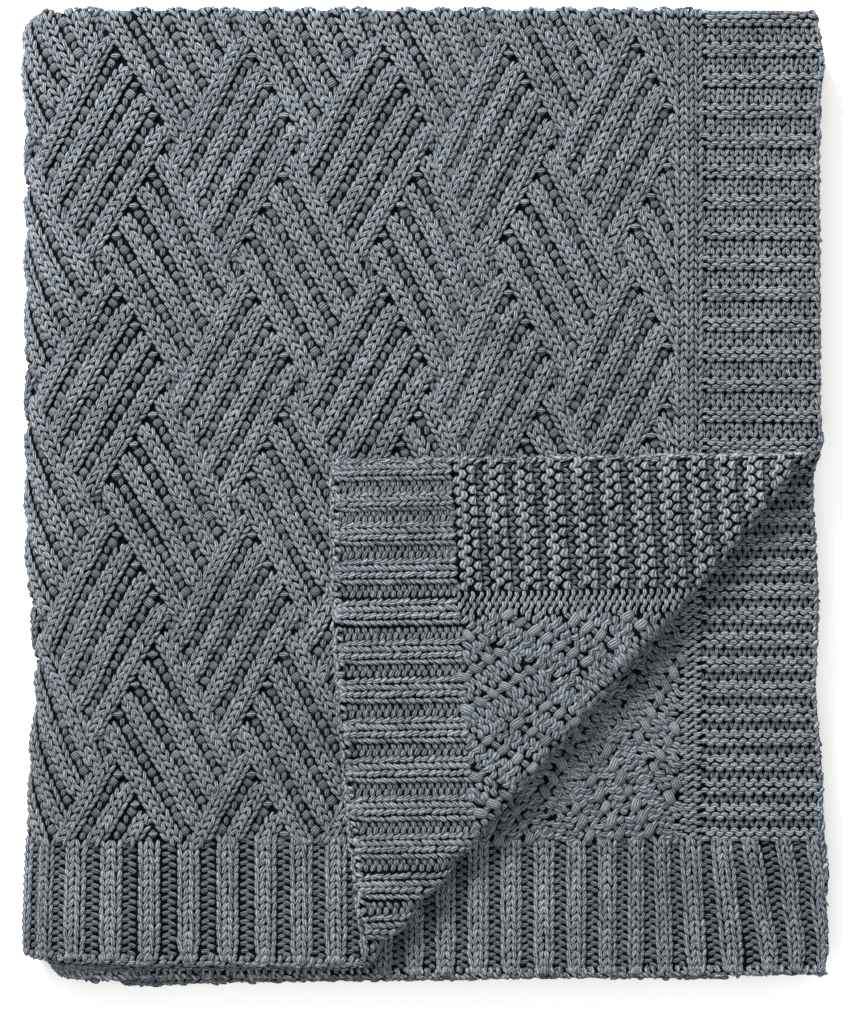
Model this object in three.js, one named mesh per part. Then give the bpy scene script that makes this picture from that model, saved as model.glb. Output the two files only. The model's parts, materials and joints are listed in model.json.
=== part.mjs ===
// A cable-knit throw, folded in half at its top edge, then in thirds from the sides.
// The corner of the uppermost ply is turned back over the stack.
// Millimetres, +Z up, the knit side of the folded stack faces up and it rests on z = 0.
import * as THREE from "three";

// Sizes of the knit.
const HALF_PLY = 3.75; // half of the full thickness, ribs included
const RIB_RISE = 3; // ribs above the ground of the knit side
const REVERSE_CUT = 2; // depth of the furrows on the reverse
const HIDDEN_KNIT = 3.3; // half thickness where the knit side is out of sight
const HIDDEN_REVERSE = 3.4; // the same for the reverse
const SEAM_HEIGHT = 0.9; // where one set of ribs dives under the next
const HOLE_HEIGHT = 0.2; // where four cells meet

// The half fold along the top edge.
const FOLD_RADIUS = 4.25; // of the middle of a ply
const FOLD_LINE = 307.2; // y where both plies leave the fold
const QUARTER = (Math.PI / 2) * FOLD_RADIUS;
const FOLD_STEPS = [-90, -45, 0, 45, 90]; // degrees

// The path of the two-ply slab from the free right edge of the top third, seen from the front.
// A straight has a length, a bend has a radius and a turn in degrees, positive to the left.
const RIGHT_EDGE = 254.4;
const TOP_LEVEL = 42; // height of the middle of the slab in the top third
const SHOULDER_START = -211.9; // x where the left fold starts to fall
const PATH = [
  { run: RIGHT_EDGE - SHOULDER_START, step: 1000 },
  { radius: 58, turn: 25, step: 12.5 },
  { radius: 30, turn: 30, step: 10 },
  { radius: 17.5, turn: 35, step: 17.5 },
  { radius: 8.55, turn: 90, step: 22.5 },
  { run: 3, step: 3 },
  { radius: 20, turn: 40, step: 20 },
  { run: 11.9, step: 11.9 },
  { radius: 20, turn: -40, step: 20 },
  { run: 441.6, step: 64 },
  { radius: 8.5, turn: -180, step: 30 },
  { run: 440.4, step: 64 },
];

// The pattern on the knit side: cells of four ribs, leaning right and left in turn.
// Columns of cells, every half cell, with the x of each in the flat top third.
const COLUMN_X = [
  [-1, -330], [0, -248.6], [0.5, -208.3], [1, -161.6], [1.5, -120.6], [2, -79],
  [2.5, -36.2], [3, 7.4], [3.5, 43.8], [4, 86.1], [4.5, 125.8], [5, 166.1], [6, 250],
];
const COLUMNS_PER_CELL = 16;
const CELL_HEIGHT = 153.3;
const FIRST_ROW = 225; // y of the middle of the first row of right-leaning cells
const ROW_RISE = [[-260, 0], [30, 0], [125, 6], [260, 6]]; // the rows climb towards the right
const LAST_FIELD_COLUMN = 79;
const FIRST_FIELD_COLUMN = -4;

// Plain wales and the welted border along the right edge: x of their lines.
const WALE_RIDGE = 170;
const WALE_FURROW = 0.2; // share of the relief beside it
const NEAR = 1; // two places closer than this count as one
const BORDER_START = 178;
const BORDER_LINES = [184, 192, 203, 212.5, 223, 231, 240, 247.5, RIGHT_EDGE];
const WELT = 19.5; // from one welt to the next
const WELT_TOP = 306.2; // y of the first welt
const WELT_FULLNESS = 0.6; // over a half, so crests and furrows are a little flat
const LOWER_WELT = 15.75; // the second ply is drawn in
const LOWER_WELT_TOP = -4.8;

// The ribbed border along the bottom edge.
const HEM_TOP = -221;
const HEM_LEVELS = [-254, -284];
const WIDE_PITCH = 25; // of the ribs left of NARROW_FROM
const NARROW_PITCH = 20;
const NARROW_FROM = -60;
const UPPER_CHANNELS = [
  -290, -270, -250, -233, -212.3, -188.5, -162.9, -137.9, -112.9, -89.3, -66.9, -45,
  -22.5, -0.1, 24.2, 45.3, 66.9, 89.1, 111.7, 134.2, 155.2, 179.4, 201.6, 221.9, 238.6,
];
const CHANNEL_FLOOR = 0.1; // half width of a channel's floor, as a share of the pitch
const CHANNEL_WALL = 0.15;
const LOWER_CHANNELS = [
  -36, -16, 4, 24.6, 45.8, 66.9, 88, 108.5, 127.7, 145.3, 162.9, 184.3, 205.7, 224.3, 241.8,
];
// The second ply's ribs lean: how far right each comes, by x, from the border's top to its end.
const LOWER_LEAN = [
  [137, 0], [155, 2.4], [171, 4], [193, 6.4], [210, 12.8], [235, 8], [247, 6.4],
];
const HEM_MIDDLE = -264; // y where the channels are at their x
const HEM_LENGTH = 80;

// Where each ply ends at the bottom, by the distance along the path.
const KNIT_END = [
  { along: 0, y: -297.9 }, { along: 120, y: -299 }, { along: 300, y: -300.5 },
  { along: 380, y: -299.5 }, { along: 470, y: -298 }, { along: 520, y: -297 },
  { along: 560, y: -305 }, { along: 610, y: -306.5 }, { along: 980, y: -305 },
  { along: 1040, y: -303.5 }, { along: 1068, y: -304 }, { along: 1090, y: -311.5 },
  { along: 1190, y: -310.8 }, { along: 1290, y: -312.5 }, { along: 1400, y: -313.5 },
  { along: 1460, y: -316 }, { along: 1500, y: -313 }, { along: 1520, y: -312 },
];
const LOWER_END = [
  { along: 0, y: -306.2 }, { along: 200, y: -308 }, { along: 420, y: -308.5 },
  { along: 480, y: -309.5 }, { along: 520, y: -309 }, { along: 560, y: -307 },
  { along: 980, y: -305 }, { along: 1040, y: -303.5 }, { along: 1068, y: -304.5 },
  { along: 1090, y: -312.5 }, { along: 1190, y: -311.5 }, { along: 1290, y: -313.5 },
  { along: 1400, y: -314.5 }, { along: 1460, y: -317 }, { along: 1500, y: -314 },
  { along: 1520, y: -313 },
];

// The turned corner: its crease runs from the right edge down to the left.
const CREASE_START = [240.96, 14.4];
const CREASE_ALONG = [-0.6586, -0.7525];
const CREASE_ACROSS = [0.7525, -0.6586];
const ROLL_RADIUS = 5.5;
const ROLL_INSET = ROLL_RADIUS + HALF_PLY; // the roll starts this far inside its outline
const ROLL_STEPS = [0, 45, 90, 135, 180]; // degrees
const FLAP_STRETCH = 1.068; // pulled across the crease
const FLAP_SHEAR = 0.176; // and along it
const FLAP_SETTLE = 3.2; // the turned ply sinks on to the stack
const SETTLE_LENGTH = 25;
const FLAP_LEFT = -65;
const FLAP_TOP = 24;
const FLAP_TIP = -305;
const FLAP_BULGE = 8;
const FLAP_BULGE_SHAPE = 0.7; // under 1 makes the bulge fuller towards its ends
const FLAP_BULGE_REACH = 120;
const FLAP_SIDE = [[-305, -33], [-225, -50], [-129, -56.6], [24, -58.6]]; // x of its side, by y
const FLAP_COVER = 10; // the flap's edges hide this much of the ply under them
const CREASE_COVER = 14; // and its rolled crease this much of the second ply

// Unevenness of the whole stack: shifts of the side outlines by height, and soft hollows.
const LEFT_SHIFT = [
  [-312, 22], [-308.5, 15], [-304, 10], [-299, 7], [-294.7, 0], [-283, -0.6], [-257, 0],
  [-226, 1.3], [-193, 2.6], [-168, 3.2], [-158, 3.8], [-142, 5.8], [-130, 7], [-111, 7],
  [-70, 3.5], [-32, 0.6], [245, 0.3], [265, -0.5], [278, -1.9], [285, -1.9], [320, 0],
];
const RIGHT_SHIFT = [
  [-312, 2], [-302, 3], [-291, 5], [-283, 5.4], [-270, 4.4], [-257, 3.8], [-245, 5.8],
  [-232, 4.4], [-206, 2.2], [-181, 1.9], [-155, 0], [-142, -1], [-123, -3.2], [-104, -1.9],
  [-66, -0.8], [-27, -2.5], [-2, -4.5], [18, -3.8], [27, 0], [36, 1.2], [60, -0.6],
  [222, -1], [250, -0.4], [268, 1.2], [284, 1.9], [297, -0.6], [306, -2], [316, -5],
];
const LEFT_REACH = 95;
const RIGHT_REACH = 75;
const LEFT_OUTLINE = -259.5;
const CORNER_ROUND = 20; // top left
const TOP_OUTLINE = FOLD_LINE + FOLD_RADIUS + HALF_PLY;
// Soft hollows: a share of the height, and how far apart they come along x and y.
const HOLLOWS = [
  { share: 0.006, x: 298, y: 408, phase: 0.6 },
  { share: 0.004, x: -204, y: 267, phase: 2.1 },
  { share: 0.003, x: 141, y: -330, phase: 4 },
];
const LEFT_LINES = [-294, -226, -122]; // y of more such lines near the left fold
const LEFT_LINES_FROM = -195;
const RIGHT_LINES = [-226, -142, -104, -60]; // and near the free edges
const RIGHT_LINES_FROM = 230;
const ROOM = 3; // least distance between lines of points
const WIDE_ROOM = 30; // and between the coarse ones
const MOST_LINES = 80;
const COARSE = 300; // step of the lines of points where nothing shows

const TURN = 2 * Math.PI;
const rad = (degrees) => (degrees * Math.PI) / 180;
const clamp = (t) => Math.min(1, Math.max(0, t));
const smooth = (t) => clamp(t) * clamp(t) * (3 - 2 * clamp(t));

// Reads a table of pairs at x, straight between its rows.
function read(table, x) {
  const next = table.findIndex((row) => row[0] >= x);
  if (next === 0) return table[0][1];
  if (next < 0) return table[table.length - 1][1];
  const [x0, y0] = table[next - 1];
  const [x1, y1] = table[next];
  return y0 + ((y1 - y0) * (x - x0)) / (x1 - x0);
}

const pairs = (rows) => rows.map((row) => [row.along, row.y]);
const knitEnd = pairs(KNIT_END);
const lowerEnd = pairs(LOWER_END);
const columnAt = COLUMN_X.map(([column, x]) => [x, column]);
const xOfColumn = (column) => read(COLUMN_X, column);
const lengthOf = (part) => part.run ?? part.radius * rad(Math.abs(part.turn));
const PATH_LENGTH = PATH.reduce((sum, part) => sum + lengthOf(part), 0);
const FLAT_FROM = PATH_LENGTH - 460; // from here on the ply under the stack is full and flat

// The point and the heading of the slab's middle at a distance along its path.
function slabAt(along) {
  let x = RIGHT_EDGE;
  let z = TOP_LEVEL;
  let heading = Math.PI;
  let left = along;
  for (const part of PATH) {
    const length = Math.min(left, lengthOf(part));
    if (part.run) {
      x += length * Math.cos(heading);
      z += length * Math.sin(heading);
    } else {
      const turned = (Math.sign(part.turn) * length) / part.radius;
      const signed = Math.sign(part.turn) * part.radius;
      x += signed * (Math.sin(heading + turned) - Math.sin(heading));
      z -= signed * (Math.cos(heading + turned) - Math.cos(heading));
      heading += turned;
    }
    left -= length;
    if (left <= 0) break;
  }
  return { x, z, heading };
}

// Height of the ribs at a point of the cell pattern, 0 in a channel and 1 on a rib.
function cellRib(column, row) {
  const a = Math.round((column + row) * 8e4) / 1e4;
  const b = Math.round((column - row) * 8e4) / 1e4;
  const inA = a - 8 * Math.floor(a / 8);
  const inB = b - 8 * Math.floor(b / 8);
  const seam = SEAM_HEIGHT / RIB_RISE;
  if (inA === 0 && inB === 0) return HOLE_HEIGHT / RIB_RISE;
  const leansRight = (Math.floor(a / 8) + Math.floor(b / 8)) % 2 === 0;
  const across = leansRight ? inA : inB;
  const lengthwise = leansRight ? inB : inA;
  const wave = 1 - Math.abs((across % 2) - 1);
  const inside = clamp(Math.min(lengthwise, 8 - lengthwise));
  return inA === 0 || inB === 0 ? seam : seam + (wave - seam) * inside;
}

// A ribbed border: 0 in a channel and 1 on a rib.
function hemRib(x, channels) {
  const pitch = x < NARROW_FROM ? WIDE_PITCH : NARROW_PITCH;
  const distance = Math.min(...channels.map((channel) => Math.abs(x - channel)));
  return clamp((distance / pitch - CHANNEL_FLOOR) / CHANNEL_WALL);
}

const yOf = (v) => FOLD_LINE + QUARTER - v; // on the upper ply, and past the fold
const yOfEither = (v) => FOLD_LINE + QUARTER - Math.abs(v);
const vOf = (y) => FOLD_LINE + QUARTER - y;
const rowAt = (x, v) => (FIRST_ROW + read(ROW_RISE, x) - yOf(v)) / CELL_HEIGHT;

// Share of the full relief at a point of the cloth: x in the flat top third, v from the half fold.
function relief(x, v) {
  const y = yOfEither(v);
  if (y < HEM_TOP - NEAR) {
    const lean = (read(LOWER_LEAN, x) * (HEM_MIDDLE - y)) / HEM_LENGTH;
    return v > 0 ? hemRib(x, UPPER_CHANNELS) : hemRib(x - lean, LOWER_CHANNELS);
  }
  if (Math.abs(x - BORDER_START) < NEAR) return 0;
  if (x > BORDER_START) {
    const wave = v > 0 ? (WELT_TOP - yOf(v)) / WELT : (LOWER_WELT_TOP - y) / LOWER_WELT;
    return clamp(0.5 + WELT_FULLNESS * Math.cos(TURN * wave));
  }
  const column = read(columnAt, x);
  if (column * COLUMNS_PER_CELL > LAST_FIELD_COLUMN + 0.5)
    return Math.abs(x - WALE_RIDGE) < NEAR ? 1 : WALE_FURROW;
  return cellRib(column, rowAt(x, v));
}

// Distance past the line where the corner starts to roll over, and the v of a distance.
const pastRoll = (x, y) =>
  (x - CREASE_START[0]) * CREASE_ACROSS[0] +
  (y - CREASE_START[1]) * CREASE_ACROSS[1] +
  ROLL_INSET;
const vOfRoll = (x, past) => vOf(0) + (past - pastRoll(x, 0)) / -CREASE_ACROSS[1];

// A point of the turned corner, from its place in the flat top third and its offset.
function turned(x, y, level, offset) {
  const past = pastRoll(x, y);
  const angle = Math.min(Math.PI, past / ROLL_RADIUS);
  const beyond = Math.max(0, past - Math.PI * ROLL_RADIUS);
  const along =
    (x - CREASE_START[0]) * CREASE_ALONG[0] +
    (y - CREASE_START[1]) * CREASE_ALONG[1] -
    FLAP_SHEAR * beyond;
  const across =
    (ROLL_RADIUS - offset) * Math.sin(angle) - ROLL_INSET - FLAP_STRETCH * beyond;
  const sunk = FLAP_SETTLE * (1 - Math.exp(-beyond / SETTLE_LENGTH));
  const px = CREASE_START[0] + along * CREASE_ALONG[0] + across * CREASE_ACROSS[0];
  const py = CREASE_START[1] + along * CREASE_ALONG[1] + across * CREASE_ACROSS[1];
  const height = level + ROLL_RADIUS * (1 - Math.cos(angle)) + offset * Math.cos(angle);
  const share = clamp((py - FLAP_TIP) / (FLAP_TOP - FLAP_TIP));
  const bulge = FLAP_BULGE * Math.sin(Math.PI * share) ** FLAP_BULGE_SHAPE;
  const near = 1 - smooth((px - FLAP_LEFT) / FLAP_BULGE_REACH);
  return [px - bulge * near * clamp(beyond / ROLL_INSET), py, height - sunk];
}

// Moves a point of the regular stack to its place in the uneven one.
function uneven([x, y, z]) {
  let px = x;
  let py = y;
  const p = (LEFT_OUTLINE + CORNER_ROUND - x) / CORNER_ROUND;
  const q = (y - TOP_OUTLINE + CORNER_ROUND) / CORNER_ROUND;
  if (p > 0 && q > 0) {
    px = LEFT_OUTLINE + CORNER_ROUND * (1 - p * Math.sqrt(1 - (q * q) / 2));
    py = TOP_OUTLINE - CORNER_ROUND * (1 - q * Math.sqrt(1 - (p * p) / 2));
  }
  const left = 1 - smooth((x - LEFT_OUTLINE) / LEFT_REACH);
  const right = smooth((x - RIGHT_EDGE + RIGHT_REACH) / RIGHT_REACH);
  px += read(LEFT_SHIFT, y) * left + read(RIGHT_SHIFT, y) * right;
  const share = HOLLOWS.reduce(
    (sum, wave) => sum + wave.share * Math.sin(TURN * (x / wave.x + y / wave.y) + wave.phase),
    0,
  );
  return [px, py, z * (1 + share)];
}

// A point of the cloth: distance along the path, v from the half fold, offset to the knit side.
function place(along, v, offset) {
  const angle = THREE.MathUtils.clamp(v / FOLD_RADIUS, -Math.PI / 2, Math.PI / 2);
  const flat = Math.max(0, Math.abs(v) - QUARTER);
  const y = FOLD_LINE - flat + (FOLD_RADIUS + offset) * Math.cos(angle);
  const level = (FOLD_RADIUS + offset) * Math.sin(angle);
  const x = RIGHT_EDGE - along;
  if (v > QUARTER && x > SHOULDER_START && pastRoll(x, y) > 0)
    return uneven(turned(x, y, TOP_LEVEL + FOLD_RADIUS, offset));
  const at = slabAt(along);
  return uneven([
    at.x + level * Math.sin(at.heading),
    y,
    at.z - level * Math.cos(at.heading),
  ]);
}

// The distances along the path that get a chain of points.
function chainPlaces() {
  const places = BORDER_LINES.concat(BORDER_START, WALE_RIDGE).map((x) => RIGHT_EDGE - x);
  for (let k = LAST_FIELD_COLUMN; k >= FIRST_FIELD_COLUMN; k--)
    places.push(RIGHT_EDGE - xOfColumn(k / COLUMNS_PER_CELL));
  const patterned = Math.max(...places);
  let start = 0;
  for (const part of PATH) {
    const length = lengthOf(part);
    const size = part.run ? part.run : Math.abs(part.turn);
    const count = Math.ceil(size / part.step - 1e-6);
    for (let i = 1; i <= count; i++) {
      const along = start + (length * i) / count;
      if (along > patterned + NEAR) places.push(along);
    }
    start += length;
  }
  return places.sort((a, b) => a - b);
}

// The v of the lines of relief between two v on a chain, by the part of the pattern it is in.
function reliefLines(x, from, to) {
  const out = [];
  const inside = (v) => v > from + NEAR && v < to - NEAR;
  const hemV = vOf(HEM_TOP);
  for (const side of [1, -1]) {
    if (inside(side * hemV)) out.push(side * hemV);
    for (const y of HEM_LEVELS) if (inside(side * vOf(y))) out.push(side * vOf(y));
  }
  const count = out.length;
  const inField = (v) =>
    inside(v) && Math.abs(v) < hemV - ROOM && Math.abs(v) > QUARTER + ROOM;
  const column = Math.round(read(columnAt, x) * COLUMNS_PER_CELL);
  const odd = Math.abs(column) % 2;
  for (let i = -MOST_LINES; i < MOST_LINES; i++) {
    const upper = vOf(WELT_TOP - (WELT * i) / 2);
    const lower = -vOf(LOWER_WELT_TOP - (LOWER_WELT * i) / 2);
    const row = (2 * i + odd) / COLUMNS_PER_CELL;
    if (x >= BORDER_START) {
      if (upper > 0) out.push(upper);
      if (lower < 0) out.push(lower);
    } else if (column > LAST_FIELD_COLUMN) out.push(i * WELT);
    else out.push(vOf(FIRST_ROW + read(ROW_RISE, x) - row * CELL_HEIGHT));
  }
  const hems = out.splice(0, count);
  return hems.concat(out.filter(inField)).sort((a, b) => a - b);
}

// Both sides of the cloth at one chain: points in order of v, tagged where chains must join.
function chainAt(along) {
  const x = RIGHT_EDGE - along;
  const patterned = x >= xOfColumn(FIRST_FIELD_COLUMN / COLUMNS_PER_CELL) - NEAR;
  const top = vOf(read(knitEnd, along));
  const low = -vOf(read(lowerEnd, along));
  const rollStart = x > SHOULDER_START ? vOfRoll(x, 0) : Infinity;
  const rollEnd = x > SHOULDER_START ? vOfRoll(x, Math.PI * ROLL_RADIUS) : Infinity;
  const turns = patterned && rollStart < top;
  const covered = (v) =>
    yOf(v) < FLAP_TOP - FLAP_COVER && x > read(FLAP_SIDE, yOf(v)) + FLAP_COVER;
  const shownTop = patterned ? Math.min(top, rollStart) : 0;
  const bare = turns ? -vOfRoll(x, ROLL_INSET - CREASE_COVER) : -Infinity;
  const shown = {
    knit: (v) => patterned && v > -QUARTER - NEAR && v <= shownTop && !covered(v),
    reverse: (v) => turns && (v > rollEnd - ROLL_INSET || v < bare),
  };
  const tags = FOLD_STEPS.map((angle) => [rad(angle) * FOLD_RADIUS, "fold" + angle]);
  if (turns)
    for (const angle of ROLL_STEPS) {
      const v = vOfRoll(x, rad(angle) * ROLL_RADIUS);
      if (v < top - ROOM) tags.push([v, "roll" + angle]);
    }
  tags.push([top, "top"], [low, "low"]);
  const near = (v, room) => tags.some(([tagged]) => Math.abs(tagged - v) < room);
  const side = (name) => {
    const points = tags
      .filter(([, tag]) => name === "knit" || !/^fold(-?45|0)$/.test(tag))
      .map(([v, tag]) => ({ v, tag }));
    const add = (v, room) => {
      if (v > low && v < top && !near(v, room)) points.push({ v });
    };
    const lines = patterned ? reliefLines(x, low, top) : [];
    const always = along === 0;
    for (const v of lines.filter((v) => always || shown[name](v))) add(v, ROOM);
    const atFold = x < LEFT_LINES_FROM && slabAt(along).x < LEFT_LINES_FROM;
    for (const v of [-COARSE, COARSE]) if (!always && !shown[name](v)) add(v, WIDE_ROOM);
    const extra = (atFold ? LEFT_LINES : []).concat(x > RIGHT_LINES_FROM ? RIGHT_LINES : []);
    for (const v of extra.map(vOf).flatMap((v) => [v, -v]))
      if (!always && !shown[name](v)) add(v, NEAR);
    points.sort((a, b) => a.v - b.v);
    return points.map(({ v, tag }) => {
      const share = shown[name](v) ? relief(x, v) : null;
      // The border's ribs stand up on both sides, the field's only on one.
      const raised = yOfEither(v) < HEM_TOP - NEAR ? share : 1 - share;
      let offset;
      if (name === "knit") offset = share === null ? HIDDEN_KNIT : HALF_PLY - RIB_RISE * (1 - share);
      else offset = share === null ? -HIDDEN_REVERSE : -HALF_PLY + REVERSE_CUT * (1 - raised);
      if (name === "knit" && along > FLAT_FROM) offset = HALF_PLY;
      return { tag, at: place(along, v, offset) };
    });
  };
  return { knit: side("knit"), reverse: side("reverse") };
}

const positions = [];
const faces = [];

function number(points) {
  for (const point of points) {
    point.index = positions.length / 3;
    positions.push(...point.at);
  }
}

const gap = (a, b) => Math.hypot(a.at[0] - b.at[0], a.at[1] - b.at[1], a.at[2] - b.at[2]);

function face(a, b, c, flip) {
  if (flip) faces.push(a.index, c.index, b.index);
  else faces.push(a.index, b.index, c.index);
}

// Fills the strip between two rows of points, taking the shorter diagonal each time.
function fillStrip(one, two, flip) {
  let i = 0;
  let j = 0;
  while (i < one.length - 1 || j < two.length - 1) {
    const canOne = i < one.length - 1;
    const canTwo = j < two.length - 1;
    const stepOne = canOne && (!canTwo || gap(one[i + 1], two[j]) <= gap(one[i], two[j + 1]));
    if (stepOne) {
      face(one[i], two[j], one[i + 1], flip);
      i++;
    } else {
      face(one[i], two[j], two[j + 1], flip);
      j++;
    }
  }
}

// The same, in parts between the tags that both rows have.
function join(one, two, flip) {
  const shared = new Set(two.map((point) => point.tag).filter(Boolean));
  const stops = (row) =>
    row.flatMap((point, i) =>
      point.tag && shared.has(point.tag) && one.some((other) => other.tag === point.tag) ? [i] : [],
    );
  const [a, b] = [stops(one), stops(two)];
  for (let i = 1; i < a.length; i++)
    fillStrip(one.slice(a[i - 1], a[i] + 1), two.slice(b[i - 1], b[i] + 1), flip);
}

const chains = chainPlaces().map(chainAt);
for (const chain of chains) {
  number(chain.knit);
  number(chain.reverse);
}
const last = (row) => row[row.length - 1];
for (let i = 1; i < chains.length; i++) {
  const [one, two] = [chains[i - 1], chains[i]];
  join(one.knit, two.knit, false);
  join(one.reverse, two.reverse, true);
  fillStrip([one.reverse[0], one.knit[0]], [two.reverse[0], two.knit[0]], false);
  fillStrip([last(one.knit), last(one.reverse)], [last(two.knit), last(two.reverse)], false);
}
const ends = [chains[0], last(chains)];
join(ends[0].reverse, ends[0].knit, false);
join(ends[1].reverse, ends[1].knit, true);

const geometry = new THREE.BufferGeometry();
geometry.setAttribute("position", new THREE.Float32BufferAttribute(positions, 3));
geometry.setIndex(faces);
geometry.computeVertexNormals();

const throwBlanket = new THREE.Mesh(
  geometry,
  new THREE.MeshStandardMaterial({ color: 0x636b72, roughness: 0.95, metalness: 0 }),
);
throwBlanket.name = "throw_cloth";

const group = new THREE.Group();
group.add(throwBlanket);
export default group;
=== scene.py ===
"""A cable-knit throw folded flat, with one corner of its top ply turned back.

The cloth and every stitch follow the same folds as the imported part. Lengths in the tables are
millimetres, x to the right and y up the picture, both measured in the flat top third.
"""

import json
import math

import bpy
import numpy as np
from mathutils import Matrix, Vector

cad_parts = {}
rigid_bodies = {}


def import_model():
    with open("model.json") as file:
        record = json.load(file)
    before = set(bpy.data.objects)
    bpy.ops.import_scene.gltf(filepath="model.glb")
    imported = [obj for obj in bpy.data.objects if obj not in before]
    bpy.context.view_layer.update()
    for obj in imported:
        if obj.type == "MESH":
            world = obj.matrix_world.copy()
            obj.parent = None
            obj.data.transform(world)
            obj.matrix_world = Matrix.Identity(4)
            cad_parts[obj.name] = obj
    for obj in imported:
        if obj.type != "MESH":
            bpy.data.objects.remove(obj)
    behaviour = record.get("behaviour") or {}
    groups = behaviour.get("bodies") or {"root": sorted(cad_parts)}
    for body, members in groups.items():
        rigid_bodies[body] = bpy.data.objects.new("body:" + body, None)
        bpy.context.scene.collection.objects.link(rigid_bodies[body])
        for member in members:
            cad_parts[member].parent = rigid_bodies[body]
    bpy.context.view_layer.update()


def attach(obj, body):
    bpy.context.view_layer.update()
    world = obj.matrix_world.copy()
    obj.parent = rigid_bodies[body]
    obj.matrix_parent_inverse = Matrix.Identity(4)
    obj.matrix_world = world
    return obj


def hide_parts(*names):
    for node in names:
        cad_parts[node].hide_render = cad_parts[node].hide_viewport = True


bl_info = {
    "name": "Folded cable-knit throw",
    "version": (1, 0, 0),
    "blender": (4, 5, 0),
    "location": "View3D > Sidebar > Throw",
    "description": "Builds a folded cable-knit throw around its packed part",
    "category": "Add Mesh",
}

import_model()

MM = 0.001
TURN = 2 * math.pi

# The folds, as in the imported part.
HALF_PLY = 3.75
FOLD_RADIUS = 4.25
FOLD_LINE = 307.2
QUARTER = math.pi / 2 * FOLD_RADIUS
HALF_FOLD = FOLD_LINE + QUARTER  # y of the half fold, if the ply lay flat
RIGHT_EDGE = 254.4
TOP_LEVEL = 42.0
SHOULDER_START = -211.9
# (length, radius, turn in degrees) of each part of the slab's path; a straight has no radius.
PATH = [
    (RIGHT_EDGE - SHOULDER_START, 0, 0), (0, 58, 25), (0, 30, 30), (0, 17.5, 35),
    (0, 8.55, 90), (3, 0, 0), (0, 20, 40), (11.9, 0, 0), (0, 20, -40), (441.6, 0, 0),
    (0, 8.5, -180), (440.4, 0, 0),
]
PATH_LENGTHS = [length or radius * math.radians(abs(turn)) for length, radius, turn in PATH]
PATH_LENGTH = sum(PATH_LENGTHS)

COLUMN_X = np.array([
    (-2, -411), (-1, -330), (0, -248.6), (0.5, -208.3), (1, -161.6), (1.5, -120.6), (2, -79),
    (2.5, -36.2), (3, 7.4), (3.5, 43.8), (4, 86.1), (4.5, 125.8), (5, 166.1), (6, 250),
])
CELL_HEIGHT = 153.3
FIRST_ROW = 225.0
ROW_RISE = np.array([(-260, 0), (30, 0), (125, 6), (260, 6)])
FIELD_RIGHT = 161.0
BORDER_START = 178.0
WELT = 19.5
WELT_TOP = 306.2
LOWER_WELT = 15.75
LOWER_WELT_TOP = -4.8
HEM_TOP = -221.0
UPPER_CHANNELS = np.array([
    -290, -270, -250, -233, -212.3, -188.5, -162.9, -137.9, -112.9, -89.3, -66.9, -45,
    -22.5, -0.1, 24.2, 45.3, 66.9, 89.1, 111.7, 134.2, 155.2, 179.4, 201.6, 221.9, 238.6, 258,
])
LOWER_CHANNELS = np.array([
    -36, -16, 4, 24.6, 45.8, 66.9, 88, 108.5, 127.7, 145.3, 162.9, 184.3, 205.7, 224.3, 241.8, 260,
])
# How far right each rib of the second ply comes, by x, from the border's top to its end.
LOWER_LEAN = np.array([
    (137, 0), (155, 2.4), (171, 4), (193, 6.4), (210, 12.8), (235, 8), (247, 6.4),
])
HEM_MIDDLE = -264.0
HEM_LENGTH = 80.0
NARROW_FROM = -60.0

# (distance along the path, y) of the lower end of the upper and of the lower ply.
KNIT_END = np.array([
    (0, -297.9), (120, -299), (300, -300.5), (380, -299.5), (470, -298), (520, -297),
    (560, -305), (610, -306.5), (980, -305), (1040, -303.5), (1068, -304), (1090, -311.5),
    (1190, -310.8), (1290, -312.5), (1400, -313.5), (1460, -316), (1500, -313), (1520, -312),
])
LOWER_END = np.array([
    (0, -306.2), (200, -308), (420, -308.5), (480, -309.5), (520, -309), (560, -307),
    (980, -305), (1040, -303.5), (1068, -304.5), (1090, -312.5), (1190, -311.5),
    (1290, -313.5), (1400, -314.5), (1460, -317), (1500, -314), (1520, -313),
])

CREASE_START = (240.96, 14.4)
CREASE_ALONG = (-0.6586, -0.7525)
CREASE_ACROSS = (0.7525, -0.6586)
ROLL_RADIUS = 5.5
ROLL_INSET = ROLL_RADIUS + HALF_PLY
FLAP_STRETCH = 1.068
FLAP_SHEAR = 0.176
FLAP_SETTLE = 3.2
SETTLE_LENGTH = 25.0
FLAP_LEFT = -65.0
FLAP_TOP = 24.0
FLAP_TIP = -305.0
FLAP_BULGE = 8.0
FLAP_BULGE_SHAPE = 0.7
FLAP_BULGE_REACH = 120.0
FLAP_SIDE = np.array([(-305, -33), (-225, -50), (-129, -56.6), (24, -58.6)])
FLAP_COVER = 10.0
CREASE_COVER = 14.0

LEFT_SHIFT = np.array([
    (-312, 22), (-308.5, 15), (-304, 10), (-299, 7), (-294.7, 0), (-283, -0.6), (-257, 0),
    (-226, 1.3), (-193, 2.6), (-168, 3.2), (-158, 3.8), (-142, 5.8), (-130, 7), (-111, 7),
    (-70, 3.5), (-32, 0.6), (245, 0.3), (265, -0.5), (278, -1.9), (285, -1.9), (320, 0),
])
RIGHT_SHIFT = np.array([
    (-312, 2), (-302, 3), (-291, 5), (-283, 5.4), (-270, 4.4), (-257, 3.8), (-245, 5.8),
    (-232, 4.4), (-206, 2.2), (-181, 1.9), (-155, 0), (-142, -1), (-123, -3.2), (-104, -1.9),
    (-66, -0.8), (-27, -2.5), (-2, -4.5), (18, -3.8), (27, 0), (36, 1.2), (60, -0.6),
    (222, -1), (250, -0.4), (268, 1.2), (284, 1.9), (297, -0.6), (306, -2), (316, -5),
])
LEFT_REACH = 95.0
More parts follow.
